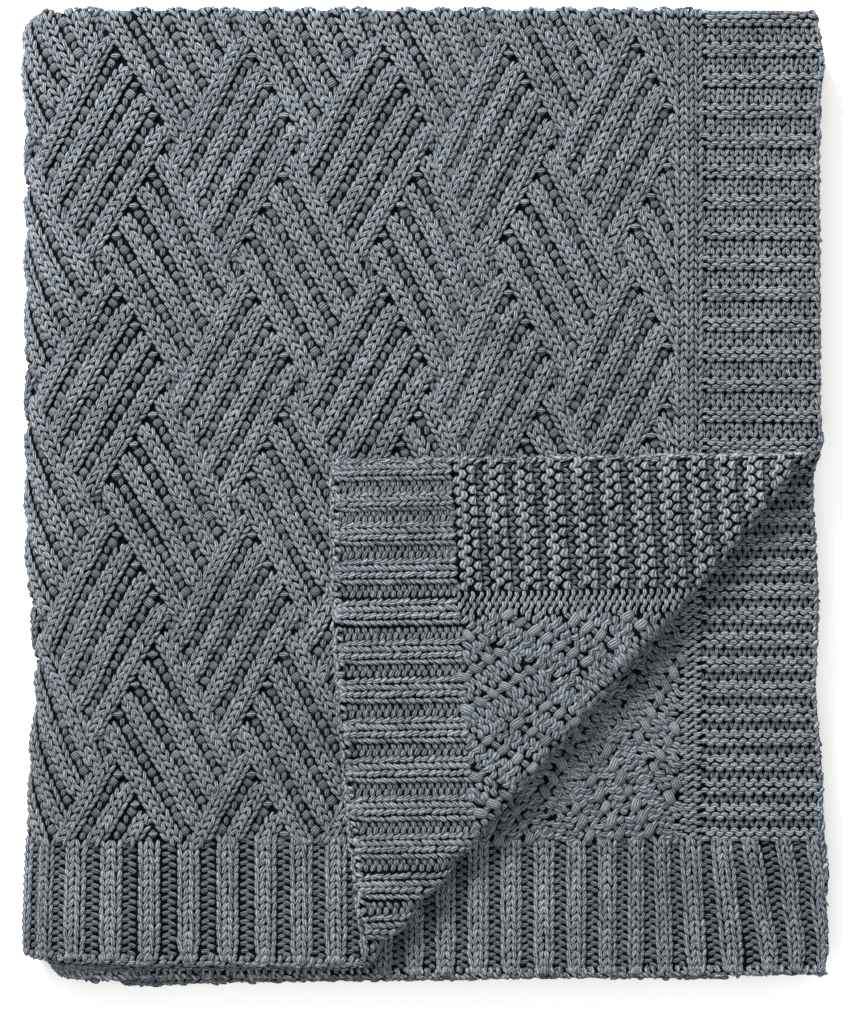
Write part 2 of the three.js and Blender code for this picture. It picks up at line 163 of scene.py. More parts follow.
RIGHT_REACH = 75.0
LEFT_OUTLINE = -259.5
CORNER_ROUND = 20.0
TOP_OUTLINE = FOLD_LINE + FOLD_RADIUS + HALF_PLY
# (share of the height, wavelength along x, along y, phase)
HOLLOWS = [(0.006, 298, 408, 0.6), (0.004, -204, 267, 2.1), (0.003, 141, -330, 4)]

# The yarn, in millimetres, with leans and tilts in degrees.
ROW = 4.75  # from one row of stitches to the next
STITCH = 6.1  # width of a stitch in the borders
RIBS = 4  # in each cell
RIB_STEP = 5.44  # along a cable rib
LEG_COLUMNS = 3.05  # between the columns of legs of a cable rib
RIB_BELOW = 7.5  # how far a cable rib goes on past the lower end of its cell
RIB_ABOVE = 3.5
RIB_END = 9.0  # length over which the (lower, upper) end of a rib narrows, sinks and pitches
RIB_NARROWS = (0.32, 0.22)
RIB_SINKS = (1.9, 2.8)
RIB_PITCHES = (10, 14)
RIB_ROUND = 0.6  # how a rib falls away from its middle
RIB_TILT = 17.0
CREST = 2.9  # height of a rib's middle over the middle of the ply
CHANNEL_BELOW = 6.0
CHANNEL_ABOVE = 3.0
CHANNEL_STEP = 5.6  # from one loop in a channel to the next
CHANNEL_BAR_LEAN = 76.0
CAP_BEYOND = 0.4  # past the upper end of a channel
LEG_LEAN = 19.0  # from the way the wale runs
LEG_PAIRS = ((1.5, 1), (0.5, -1), (-0.5, 1), (-1.5, -1))  # (column of a rib, which way it leans)
WALES = ((164, 2.0), (170, 2.6), (175.8, 1.2))  # (x, height) of the plain wales
WALE_STEP = 5.2
WALE_HALF = 1.6  # from the middle of a wale to its legs
WALE_LEAN = 25.0
WALE_TILT = 12.0
WELT_CREST = 2.4
WELT_ROUND = 0.4
WELT_LEG_HALF = 1.55
WELT_LEG_LEAN = 22.0
WELT_TILT = 14.0
WELT_ARC_SIZE = (1.08, 1, 1)
WELT_LEG_SIZE = (1, 0.88, 0.85)
HEM_START = 4.5  # from the lower edge to the first legs
HEM_PINCH = 0.25  # share by which a rib narrows at the lower edge
HEM_PINCHED = (2.0, 12.0)  # distance from the edge where it starts to widen, and over which
HEM_ROUND = 0.7
HEM_TILT = 21.0
HEM_CHANNEL = 7.0  # width of a channel between two ribs
HEM_LEG_STEPS = (2.6, 3.7)  # least and most between the columns of legs
HEM_LEG_STEP = 3.4  # at which a leg has its own width
HEM_PURL_HALF = 1.9
HEM_PURL_LEAN = 18.0
HEM_PURL_HEIGHT = -0.3
HEM_PURL_SIZE = (1.1, 0.85, 0.8)
REVERSE_BAR_STEP = 10.2
REVERSE_ARC_STEP = 5.1
REVERSE_ROWS = (-3.4, 0.0, 3.4)  # across a rib; an outer rib has one more row beyond it
REVERSE_OUTER = {0: (7.0,), RIBS - 1: (-7.0,)}
REVERSE_LEAN = 20.0
CHAIN_STEP = 5.0
REVERSE_FROM = -60.0  # x, left of all of the reverse that shows
RIM = 12.0  # height of the band of loops along the lower edges of the hidden layers
RIM_START = 3.0
RIM_ROW = 2.8
RIM_ROWS = 3
RIM_CREST = 2.4
EDGE_MARGIN = 1.5  # from the lower edges to the first loops
SIDE_MARGIN = 1.0
KNIT_ROLL = 2.0  # how far round the roll the knit side's loops go
FLAP_ROLL = 1.0  # where the flap's start
ABOVE_FLOOR = 0.0021  # metres, for the middle of a loop
STITCHED_TO = 545.0  # along the path, past the left fold
STITCHED_FROM = -7.0  # v, just past the half fold

KNIT_FIELD_TO = FIELD_RIGHT + 1
REVERSE_FIELD_TO = FIELD_RIGHT + 4
PURL_FROM = FIELD_RIGHT + 6
PURL_TO = BORDER_START + 1
PURL_LEAN = 12.0
WELTS_FROM = BORDER_START + 3
WELTS_TO = RIGHT_EDGE - 2
HEM_LEGS_TO = HEM_TOP + 2
HEM_FROM = -300.0
REVERSE_TO = RIGHT_EDGE + 8
CHAIN_START = 2.0
RIGHT_CHAIN_INSETS = (3.0, 1.0)  # from the lower edge and from the half fold
CORNER_PAST = 1.2  # in radii of the rounded corner

# (least and greatest column, least and greatest row) of the cells with loops.
KNIT_CELLS = (-1.6, 5.4, -1.1, 3.7)
FLAP_CELLS = (-0.6, 5.4, -1, 3.7)
CELLS_ABOUT = range(-8, 14)
WELTS_ABOUT = range(-2, 50)

# The loops of each pattern: size against their own shape, painted shade (a darkening that stands
# in for shade where they lie low) and unevenness.
RIB_LEG = {"size": (1.08, 0.88, 1), "deep": 0.08}
CHANNEL_LOOP = {"lean": 90.0, "height": -0.3, "size": (1.02, 1.0, 0.95), "deep": 0.55}
CHANNEL_BAR = {"height": -0.5, "size": (0.66, 1.02, 1.0), "deep": 0.45}
CHANNEL_CAP = {"lean": 4.0, "height": 1.9, "size": (1.15, 0.85, 0.95), "deep": 0.2}
JUNCTION_LOOP = {"height": 0.0, "size": (0.95, 0.95, 1), "deep": 0.5}
WALE_LEG = {"size": (1.0, 0.9, 1), "deep": 0.15}
PURL_ARC = {"height": 1.6, "size": (1.06, 0.8, 0.95)}
REVERSE_BAR = {"height": 2.3, "size": (0.98, 1.05, 1.15), "jitter": 1.4, "deep": 0.1}
REVERSE_GAP = {"height": 0.9, "size": (1.15, 1.15, 1.0), "deep": 0.4}
REVERSE_ARC = {"height": 1.6, "size": (1.16, 1.2, 1.1), "jitter": 2, "deep": 0.25}
CHAIN_SIDE = {"size": (0.78, 0.9, 1.0), "jitter": 2.5}
CHAIN_MIDDLE = {"size": (0.78, 0.8, 1.1), "jitter": 2.5}
CHAIN_ROOT = {"size": (0.86, 0.85, 0.95), "jitter": 2}
FLAP_HEM = {"lean": 26.0, "length": 0.9, "width": 1.05, "deep": 0.3}
RIM_ARC = {"size": (0.95, 0.85, 1.0), "jitter": 1.5}

# (kind, right, up, height, lean, looks) of the chain along the lower edges and the right one.
LOWER_CHAIN = (
    ("leg", 0.0, 1.2, 1.6, 22, CHAIN_SIDE), ("leg", 0.0, 1.2, -1.6, -22, CHAIN_SIDE),
    ("leg", 2.5, 0.4, 0.0, 0, CHAIN_MIDDLE),
    ("bump", 1.0, 4.0, 2.0, 66, CHAIN_ROOT), ("bump", 1.0, 4.0, -2.0, 114, CHAIN_ROOT),
)
RIGHT_CHAIN = (
    ("leg", -1.6, 0.0, 1.6, 112, CHAIN_SIDE), ("leg", -1.6, 0.0, -1.6, 68, CHAIN_SIDE),
    ("leg", -0.8, ROW / 2, 0.0, 90, CHAIN_MIDDLE),
)

# (right, up, lean) of the loops where the corners of four cells meet. Every other meeting
# point has them further right.
JUNCTION = ((-2.2, 4.5, 70), (2.2, 4.5, 110), (-1.8, -0.5, 90), (1.8, -0.5, 90), (0.0, -5.0, 90))
JUNCTION_SHIFT = 2.0
# Welts by (ply, face): rows of arcs, their spacing, width and painted shade, then rows of legs,
# their level, share of their row's height and painted shade.
WELTS = {
    (1, 1): (4, 2.45, 0.82, 0.0, 2, -0.3, 0.185, 0.15),
    (1, -1): (3, 4.5, 1.5, 0.1, 1, -0.7, 0.18, 0.45),
    (-1, -1): (4, 2.75, 0.92, 0.0, 1, -0.6, 0.22, 0.35),
}

# What each loop's point tells the node tree.
# The last of these is painted shade, a darkening that stands in for shade on loops that lie low.
POINT_DATA = {"turn": "FLOAT_VECTOR", "size": "FLOAT_VECTOR", "kind": "INT", "deep": "FLOAT"}

# Unevenness of the loops: standard deviations of place, height, lean and size.
PLACE_JITTER = 0.2
HEIGHT_JITTER = 0.15
LEAN_JITTER = 5
SIZE_JITTER = 0.06

# A loop's own shape: sections at its middle and both shoulders, with points at these angles.
SHOULDER = 0.68
SECTION = np.radians([0, 62, 125, 235, 298])

# The yarn's tone: shares of its strands, fibres, clouds and whole loops, and an offset. The
# strands' share is painted shade in the grooves between them and painted highlight on their
# crests.
STRAND_SHADING = 0.52
FIBRE_TONE = 0.75
CLOUD_TONE = 0.5
LOOP_TONE = 0.3
TONE_OFFSET = -0.52
STRAND_HEIGHT = 0.6
FIBRE_HEIGHT = 0.5
FIBRE_SCALE = 800
CLOUD_SCALE = 22
# Painted shade at the ends of each loop, where they dip between other loops.
PAINTED_END_SLOPE = 4.7  # how fast a loop brightens from its ends, which have PAINTED_END_LIGHT
PAINTED_END_LIGHT = 0.02
YARN_BUMP = 0.002  # metres
GROUND_BUMP = 0.006
GROUND_SHADE = 0.3  # of the colour between the strands

# The relief under the loops, as shares of its full height and of the pitch of a border's rib.
HALF_RIBS = 2 * RIBS  # across a cell
RIB_WAVE = 0.62
CELL_END_LEVEL = 0.25
CELL_END_SLOPE = 1.3
WALE_LEVEL = 0.75
WELT_WAVE = 0.6
HEM_PITCHES = (25.0, 20.0)  # left and right of NARROW_FROM
HEM_FLAT = 0.08
HEM_SLOPE = 0.2

# The cloth's mesh, and the levels of its faces from the middle of the ply.
PANEL_STEP = 5.0
PANEL_PAST = 262
LONG_PART = 100
LONG_STEP = 45.0
BEND_STEP = 4.0
UPPER_LINES = 112
LOWER_LINES = ((0, 0.46, 12), (0.47, 1, 60))  # (from, to, lines), as shares of the lower ply
FOLD_TURN = 22.5
RIM_LEVEL = 0.8
BARE_KNIT = 3.3
BARE_REVERSE = 3.4
GROUND_RELIEF = 2.0
GROUND_DEPTH = 1.0  # of the channels
GROUND_PAST = 3.0  # how far the lowered faces go on past the loops
THINNEST = 1.0

# The photograph and the camera.
PIXEL = 0.64
PHOTO_HEIGHT = 1020
SENSOR = 24
SCALE_LEVEL = 0.048  # metres above the floor, where a pixel has that size
EYE = (-0.00128, -0.008)  # metres
FLOOR_SIZE = 20
FLOOR_LEVEL = -0.0002
KEY_LIGHT = (0.8, (-0.75, 1.25, 1.25))  # (size, place)
TOP_LIGHT = (2.0, (0.3, -0.5, 3.2))


def smooth(t):
    t = np.clip(t, 0, 1)
    return t * t * (3 - 2 * t)


def table(rows, x):
    return np.interp(x, rows[:, 0], rows[:, 1])


def column_x(column):
    return table(COLUMN_X, column)


def column_at(x):
    return np.interp(x, COLUMN_X[:, 1], COLUMN_X[:, 0])


def v_of(y):
    return HALF_FOLD - y


def past_roll(x, y):
    """How far a point of the flat ply lies past the line where its corner starts to roll."""
    return ((x - CREASE_START[0]) * CREASE_ACROSS[0]
            + (y - CREASE_START[1]) * CREASE_ACROSS[1] + ROLL_INSET)


def slab_at(along):
    """Middle of the two-ply slab and its heading, at distances along its path."""
    x = np.full_like(along, RIGHT_EDGE)
    z = np.full_like(along, TOP_LEVEL)
    heading = np.full_like(along, math.pi)
    start = 0.0
    for (_, radius, turn), full in zip(PATH, PATH_LENGTHS):
        done = np.clip(along - start, 0, full)
        if radius:
            sign = math.copysign(1, turn)
            turned = sign * done / radius
            x = x + sign * radius * (np.sin(heading + turned) - np.sin(heading))
            z = z - sign * radius * (np.cos(heading + turned) - np.cos(heading))
            heading = heading + turned
        else:
            x = x + done * np.cos(heading)
            z = z + done * np.sin(heading)
        start += full
    return x, z, heading


def turned_corner(x, y, offset):
    past = past_roll(x, y)
    angle = np.clip(past / ROLL_RADIUS, 0, math.pi)
    beyond = np.maximum(0, past - math.pi * ROLL_RADIUS)
    along = ((x - CREASE_START[0]) * CREASE_ALONG[0]
             + (y - CREASE_START[1]) * CREASE_ALONG[1] - FLAP_SHEAR * beyond)
    across = (ROLL_RADIUS - offset) * np.sin(angle) - ROLL_INSET - FLAP_STRETCH * beyond
    sunk = FLAP_SETTLE * (1 - np.exp(-beyond / SETTLE_LENGTH))
    px = CREASE_START[0] + along * CREASE_ALONG[0] + across * CREASE_ACROSS[0]
    py = CREASE_START[1] + along * CREASE_ALONG[1] + across * CREASE_ACROSS[1]
    level = TOP_LEVEL + FOLD_RADIUS
    pz = level + ROLL_RADIUS * (1 - np.cos(angle)) + offset * np.cos(angle) - sunk
    share = np.clip((py - FLAP_TIP) / (FLAP_TOP - FLAP_TIP), 0, 1)
    bulge = FLAP_BULGE * np.maximum(0, np.sin(math.pi * share)) ** FLAP_BULGE_SHAPE
    near = 1 - smooth((px - FLAP_LEFT) / FLAP_BULGE_REACH)
    return px - bulge * near * np.clip(beyond / ROLL_INSET, 0, 1), py, pz


def uneven(x, y, z):
    """Moves points of the regular stack to their places in the uneven one."""
    p = (LEFT_OUTLINE + CORNER_ROUND - x) / CORNER_ROUND
    q = (y - TOP_OUTLINE + CORNER_ROUND) / CORNER_ROUND
    corner = (p > 0) & (q > 0)
    p1, q1 = (np.clip(part, 0, CORNER_PAST) for part in (p, q))
    px = np.where(corner, LEFT_OUTLINE + CORNER_ROUND * (1 - p1 * np.sqrt(1 - q1 * q1 / 2)), x)
    py = np.where(corner, TOP_OUTLINE - CORNER_ROUND * (1 - q1 * np.sqrt(1 - p1 * p1 / 2)), y)
    left = 1 - smooth((x - LEFT_OUTLINE) / LEFT_REACH)
    right = smooth((x - RIGHT_EDGE + RIGHT_REACH) / RIGHT_REACH)
    px = px + table(LEFT_SHIFT, y) * left + table(RIGHT_SHIFT, y) * right
    share = sum(s * np.sin(TURN * (x / a + y / b) + phase) for s, a, b, phase in HOLLOWS)
    return np.stack([px, py, z * (1 + share)], -1) * MM


def place(x, v, offset):
    """Points of the cloth, in metres: x in the flat top third, v from the half fold, offset
    from the middle of the ply to its knit side."""
    x, v, offset = np.broadcast_arrays(*(np.asarray(a, float) for a in (x, v, offset)))
    angle = np.clip(v / FOLD_RADIUS, -math.pi / 2, math.pi / 2)
    flat = np.maximum(0, np.abs(v) - QUARTER)
    y = FOLD_LINE - flat + (FOLD_RADIUS + offset) * np.cos(angle)
    level = (FOLD_RADIUS + offset) * np.sin(angle)
    sx, sz, heading = slab_at(RIGHT_EDGE - x)
    tx, ty, tz = turned_corner(x, y, offset)
    turned = (v > QUARTER) & (x > SHOULDER_START) & (past_roll(x, y) > 0)
    return uneven(np.where(turned, tx, sx + level * np.sin(heading)),
                  np.where(turned, ty, y),
                  np.where(turned, tz, sz - level * np.cos(heading)))


def cell_rib(column, row):
    """Height of the cable ribs at places of the pattern, 0 in a channel and 1 on a rib."""
    a, b = (column + row) * HALF_RIBS, (column - row) * HALF_RIBS
    in_a, in_b = np.mod(a, HALF_RIBS), np.mod(b, HALF_RIBS)
    right = np.mod(np.floor(a / HALF_RIBS) + np.floor(b / HALF_RIBS), 2) == 0
    across, lengthwise = np.where(right, in_a, in_b), np.where(right, in_b, in_a)
    wave = 0.5 - RIB_WAVE * np.cos(math.pi * across)
    inside = np.clip(np.minimum(lengthwise, HALF_RIBS - lengthwise) * CELL_END_SLOPE, 0, 1)
    return CELL_END_LEVEL + (np.clip(wave, 0, 1) - CELL_END_LEVEL) * inside


def hem_rib(x, channels):
    distance = np.min(np.abs(x[..., None] - channels), -1)
    pitch = np.where(x < NARROW_FROM, *HEM_PITCHES)
    return smooth((distance / pitch - HEM_FLAT) / HEM_SLOPE)


def drift(x, y):
    """How far right a rib of the second ply's border has come, at a height."""
    return table(LOWER_LEAN, x) * (HEM_MIDDLE - y) / HEM_LENGTH


def relief(x, v):
    """Share of the full relief on the knit side, at points of the cloth."""
    y = HALF_FOLD - np.abs(v)
    upper = v > 0
    hem = np.where(upper, hem_rib(x, UPPER_CHANNELS), hem_rib(x - drift(x, y), LOWER_CHANNELS))
    wave = np.where(upper, (WELT_TOP - FOLD_LINE - QUARTER + v) / WELT,
                    (LOWER_WELT_TOP - y) / LOWER_WELT)
    welts = np.clip(0.5 + WELT_WAVE * np.cos(TURN * wave), 0, 1)
    row = (FIRST_ROW + table(ROW_RISE, x) - FOLD_LINE - QUARTER + v) / CELL_HEIGHT
    cells = cell_rib(column_at(x), row)
    side = np.where(x > BORDER_START, welts, np.where(x > FIELD_RIGHT, WALE_LEVEL, cells))
    return np.where(y < HEM_TOP, hem, side)


# Node trees and meshes.


class Tree:
    """A node tree and a short way to add nodes to it."""

    def __init__(self, tree):
        self.tree = tree

    def fill(self, node, inputs):
        """Sets a node's inputs to values, or links them to other nodes' outputs."""
        for key, value in dict(inputs).items():
            if isinstance(value, bpy.types.NodeSocket):
                self.tree.links.new(value, node.inputs[key])
            else:
                node.inputs[key].default_value = value

    def add(self, kind, inputs=(), **settings):
        node = self.tree.nodes.new(kind)
        for key, value in settings.items():
            setattr(node, key, value)
        self.fill(node, inputs)
        return node.outputs


def add_object(name, data):
    obj = bpy.data.objects.new(name, data)
    bpy.context.scene.collection.objects.link(obj)
    return obj


def add_mesh(name, points, faces, uv=None):
    """A mesh object from arrays: faces is an array of quads or a list of polygons."""
    mesh = bpy.data.meshes.new(name)
    mesh.from_pydata(points.tolist(), [], faces.tolist() if hasattr(faces, "tolist") else faces)
    if uv is not None:
        layer = mesh.uv_layers.new(name="Knit")
        loops = np.zeros(len(mesh.loops), np.int32)
        mesh.loops.foreach_get("vertex_index", loops)
        layer.data.foreach_set("uv", uv[loops].astype(np.float32).ravel())
    mesh.polygons.foreach_set("use_smooth", np.ones(len(mesh.polygons), bool))
    mesh.update()
    return add_object(name, mesh)


def shape_object(name, length, width, thick, dip, fullness, strands, twist, bow=0.0):
    """One closed loop of yarn along x: its ends dip and bend sideways, strands wind round it."""
    sides = len(SECTION)

    def middle(t):
        return np.array([t * length / 2, -bow * t * t, -dip * t * t])

    points = [middle(-1)]
    for t, w in ((-SHOULDER, fullness), (0.0, 1.0), (SHOULDER, fullness)):
        for a in SECTION:
            points.append(middle(t) + np.array(
                [0, w * width / 2 * math.sin(a), w * thick / 2 * math.cos(a)]))
    points.append(middle(1))
    end = len(points) - 1
    faces, corners = [], []

    def wound(t, i):
        u = 0.5 + t / 2
        return u, strands * i / sides + twist * u

    for i in range(sides):
        j = (i + 1) % sides
        faces.append((0, 1 + j, 1 + i))
        corners += [wound(-1, i + 0.5), wound(-SHOULDER, i + 1), wound(-SHOULDER, i)]
        for r, (t0, t1) in enumerate(((-SHOULDER, 0.0), (0.0, SHOULDER))):
            a, b = 1 + r * sides, 1 + (r + 1) * sides
            faces.append((a + i, a + j, b + j, b + i))
            corners += [wound(t0, i), wound(t0, i + 1), wound(t1, i + 1), wound(t1, i)]
        a = end - sides
        faces.append((a + i, a + j, end))
        corners += [wound(SHOULDER, i), wound(SHOULDER, i + 1), wound(1, i + 0.5)]
    obj = add_mesh(name, np.array(points) * MM, faces)
    layer = obj.data.uv_layers.new(name="Knit")
    layer.data.foreach_set("uv", np.array(corners, np.float32).ravel())
    return obj


def stitch_tree():
    """Puts a loop of yarn at each point, turned and sized by the point's own attributes."""
    group = bpy.data.node_groups.new("Yarn on points", "GeometryNodeTree")
    sockets = group.interface
    for name, kind in (("Geometry", "Geometry"), ("Yarn", "Collection"),
                       ("Material", "Material"), ("Seed", "Int")):
        sockets.new_socket(name, in_out="INPUT", socket_type="NodeSocket" + kind)
    sockets.new_socket("Geometry", in_out="OUTPUT", socket_type="NodeSocketGeometry")
    add = Tree(group).add
    given = add("NodeGroupInput")

    def read(name):
        return add("GeometryNodeInputNamedAttribute", {"Name": name},
                   data_type=POINT_DATA[name])["Attribute"]

    yarn = add("GeometryNodeCollectionInfo", {
        "Collection": given["Yarn"], "Separate Children": True, "Reset Children": True})
    loops = add("GeometryNodeInstanceOnPoints", {
        "Points": given["Geometry"], "Instance": yarn["Instances"], "Pick Instance": True,
        "Instance Index": read("kind"), "Rotation": read("turn"), "Scale": read("size")})
    tones = add("FunctionNodeRandomValue", {"Seed": given["Seed"]}, data_type="FLOAT")
    toned = add("GeometryNodeStoreNamedAttribute", {
        "Geometry": loops["Instances"], "Name": "tone",
        "Value": next(tone for tone in tones if tone.type == "VALUE"),
    }, data_type="FLOAT", domain="INSTANCE")
    real = add("GeometryNodeRealizeInstances", {"Geometry": toned["Geometry"]})
    painted = add("GeometryNodeSetMaterial", {
        "Geometry": real["Geometry"], "Material": given["Material"]})
    add("NodeGroupOutput", {"Geometry": painted["Geometry"]})
    return group


class Stitches:
    """Loops of yarn waiting to be set: where they are on the cloth and how they lie."""

    KINDS = {"leg": 0, "bump": 1, "bar": 2, "arc": 3}

    def __init__(self, ply, face):
        self.ply = ply  # 1 upper, -1 lower
        self.face = face  # 1 knit side, -1 reverse
        self.rows = []

    def add(self, kind, x, y, height, lean, tilt=0.0, size=(1, 1, 1), pitch=0.0, jitter=1.0,
            deep=0.0):
        """Loops at flat places. lean is their direction in degrees from +x, tilt turns them
        about it, height is the distance of their middle from the middle of the ply, and the last
        argument is painted shade: how much darker they are painted, standing in for shade where
        they lie low."""
        parts = np.broadcast_arrays(*(np.asarray(a, float) for a in (
            self.KINDS[kind], x, y, height, lean, tilt, pitch, jitter, deep)))
        sizes = np.broadcast_to(np.asarray(size, float), parts[0].shape + (3,))
        self.rows.append([a.ravel() for a in parts] + [sizes.reshape(-1, 3)])

    def points(self, keep, rng):
        """Places of the loops that keep allows, and their data in the order of POINT_DATA."""
        parts = [np.concatenate(p) for p in zip(*self.rows)]
        shown = keep(parts[1], parts[2])
        kinds, x, y, height, lean, tilt, pitch, strength, painted_shades, size = (a[shown] for a in parts)
        count = len(x)
        x = x + rng.normal(0, PLACE_JITTER, count) * strength
        y = y + rng.normal(0, PLACE_JITTER, count) * strength
        height = height + rng.normal(0, HEIGHT_JITTER, count) * strength
        lean = np.radians(lean + rng.normal(0, LEAN_JITTER, count) * strength)
        size = size * (1 + rng.normal(0, SIZE_JITTER, (count, 3)) * strength[:, None])

        def at(dx, dy, dh):
            return place(x + dx, self.ply * v_of(y + dy), self.face * (height + dh))

        step = 0.4
        along = at(step * np.cos(lean), step * np.sin(lean), 0) - at(
            -step * np.cos(lean), -step * np.sin(lean), 0)
        up = at(0, 0, step) - at(0, 0, -step)
        along /= np.linalg.norm(along, axis=1)[:, None]
        up -= along * np.sum(along * up, 1)[:, None]
        up /= np.linalg.norm(up, axis=1)[:, None]
        side = np.cross(up, along)
        t = np.radians(tilt)[:, None]
        up, side = up * np.cos(t) + side * np.sin(t), side * np.cos(t) - up * np.sin(t)
        p = np.radians(pitch)[:, None]
        along, up = along * np.cos(p) + up * np.sin(p), up * np.cos(p) - along * np.sin(p)
        turn = np.stack([np.arctan2(side[:, 2], up[:, 2]),
                         np.arcsin(np.clip(-along[:, 2], -1, 1)),
                         np.arctan2(along[:, 1], along[:, 0])], 1)
        places = at(0, 0, 0)
        places[:, 2] = np.maximum(places[:, 2], ABOVE_FLOOR)
        return places, turn, size, kinds, painted_shades


def set_stitches(name, *groups):
    """Builds one piece from groups of (stitches, keep) and dresses the cloth with it."""
    seed = bpy.context.scene.throw_yarn.seed
    rng = np.random.default_rng(seed)
    at, *data = (np.concatenate(p) for p in zip(*(s.points(keep, rng) for s, keep in groups)))
    mesh = bpy.data.meshes.new(name + "_points")
    mesh.from_pydata(at.tolist(), [], [])
    for (key, kind), values in zip(POINT_DATA.items(), data):
        layer = mesh.attributes.new(key, kind, "POINT")
        values = values.astype(np.int32 if kind == "INT" else np.float32)
        field = "vector" if values.ndim == 2 else "value"
        layer.data.foreach_set(field, np.ascontiguousarray(values).ravel())
    points = add_object(name + "_points", mesh)
    modifier = points.modifiers.new("Yarn", "NODES")
    tree = bpy.data.node_groups.get("Yarn on points") or stitch_tree()
    modifier.node_group = tree
    values = {"Yarn": yarn_shapes(), "Material": yarn_material(), "Seed": seed}
    for item in tree.interface.items_tree:
        if item.item_type == "SOCKET" and item.in_out == "INPUT" and item.name in values:
            modifier[item.identifier] = values[item.name]
    graph = bpy.context.evaluated_depsgraph_get()
    graph.update()
    done = bpy.data.meshes.new_from_object(points.evaluated_get(graph))
    done.name = name
    bpy.data.objects.remove(points)
    bpy.data.meshes.remove(mesh)
    if len(done.polygons) == 0:
        raise RuntimeError(f"{name}: no stitches were made")
    done.polygons.foreach_set("use_smooth", np.ones(len(done.polygons), bool))
    obj = add_object(name, done)
    triangles = len(done.loops) - 2 * len(done.polygons)
    print(f"{name}: {len(at)} loops, {triangles} triangles")
    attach(obj, "root")


def yarn_shapes():
    """The collection of the four shapes of yarn, made once."""
    found = bpy.data.collections.get("Yarn shapes")
    if found:
        return found
    yarn = bpy.context.scene.throw_yarn
    shapes = bpy.data.collections.new("Yarn shapes")
    # (name, which lengths it has, dip, fullness, strands, twist, bow)
    for name, like, *rest in (
        ("a_leg", "leg", 1.3, 0.76, 5, 0.7),
        ("b_bump", "bump", 0.9, 0.82, 5, 0.5),
        ("c_bar", "bar", 1.8, 0.86, 10, 0.0),
        ("d_arc", "bump", 0.9, 0.82, 5, 0.5, 1.3),
    ):
        lengths = (getattr(yarn, key) for key in (like + "_length", like + "_width", "thickness"))
        obj = shape_object(name, *(length / MM for length in lengths), *rest)
        bpy.context.scene.collection.objects.unlink(obj)
        shapes.objects.link(obj)
    return shapes


# Materials.


class Paint(Tree):
    """A material and short ways to add nodes to it."""

    def __init__(self, name, inputs):
        self.material = bpy.data.materials.new(name)
        self.material.use_nodes = True
        super().__init__(self.material.node_tree)
        self.shader = self.tree.nodes["Principled BSDF"]
        self.fill(self.shader, inputs)

    def math(self, operation, *values, **settings):
        return self.add("ShaderNodeMath", enumerate(values), operation=operation, **settings)[0]

    def attribute(self, name):
        return self.add("ShaderNodeAttribute", attribute_name=name)["Fac"]

    def knit_uv(self):
        uv = self.add("ShaderNodeUVMap", uv_map="Knit")["UV"]
        split = self.add("ShaderNodeSeparateXYZ", {"Vector": uv})
        return split["X"], split["Y"]

    def noise(self, scale, detail):
        places = self.add("ShaderNodeTexCoord")["Object"]
        return self.add("ShaderNodeTexNoise", {
            "Vector": places, "Scale": scale, "Detail": detail})["Fac"]

    def ramp(self, value, low, high, *middle):
        """A colour ramp from (position, colour) stops."""
        outputs = self.add("ShaderNodeValToRGB", {"Fac": value})
        elements = outputs["Color"].node.color_ramp.elements
        for element, (position, colour) in zip(elements, (low, high)):
            element.position, element.color = position, (*colour, 1)
        for position, colour in middle:
            elements.new(position).color = (*colour, 1)
        return outputs["Color"]

    def finish(self, colour, height, depth):
        """Paints the shader and raises its normal by a bump of a depth in metres."""
        bump = self.add("ShaderNodeBump", {
            "Strength": 1.0, "Distance": depth, "Height": height})
        self.fill(self.shader, {"Base Color": colour, "Normal": bump["Normal"]})
        return self.material


def yarn_material():
    """Plied cotton: strands wound round each loop, with painted shade between them and painted
    highlight on them, and small changes of tone.
    """
    found = bpy.data.materials.get("throw_yarn")
    if found:
        return found
    yarn = bpy.context.scene.throw_yarn
    paint = Paint("throw_yarn", {
        "Roughness": 0.92, "Specular IOR Level": 0.18, "Sheen Weight": 0.12,
        "Sheen Roughness": 0.5, "Sheen Tint": (0.75, 0.8, 0.85, 1)})
    math_node = paint.math
    along, around = paint.knit_uv()
    tone = paint.attribute("tone")
    angle = math_node("MULTIPLY", math_node("ADD", around, tone), TURN)
    strand = math_node("MULTIPLY_ADD", math_node("SINE", angle), 0.5, 0.5)
    fibre = paint.noise(FIBRE_SCALE, 2)
    looks = math_node("MULTIPLY_ADD", paint.noise(CLOUD_SCALE, 3), CLOUD_TONE, TONE_OFFSET)
    for part, share in ((tone, LOOP_TONE), (fibre, FIBRE_TONE), (strand, STRAND_SHADING)):
        looks = math_node("MULTIPLY_ADD", part, share, looks)
    # Painted shade: the ends of a loop are darker, where they dip between other loops, and all of
    # a loop that lies low is darker still.
    ends = math_node("MULTIPLY_ADD", math_node("PINGPONG", along, 0.5), PAINTED_END_SLOPE, PAINTED_END_LIGHT,
                     use_clamp=True)
    lit = math_node("MULTIPLY", ends, math_node("SUBTRACT", 1.0, paint.attribute("deep")))
    colour = paint.ramp(math_node("MULTIPLY", looks, lit), (0.1, yarn.shade),
                        (0.95, yarn.light), (0.5, yarn.colour))
    height = math_node("MULTIPLY_ADD", strand, STRAND_HEIGHT,
                       math_node("MULTIPLY", fibre, FIBRE_HEIGHT))
    return paint.finish(colour, height, YARN_BUMP)


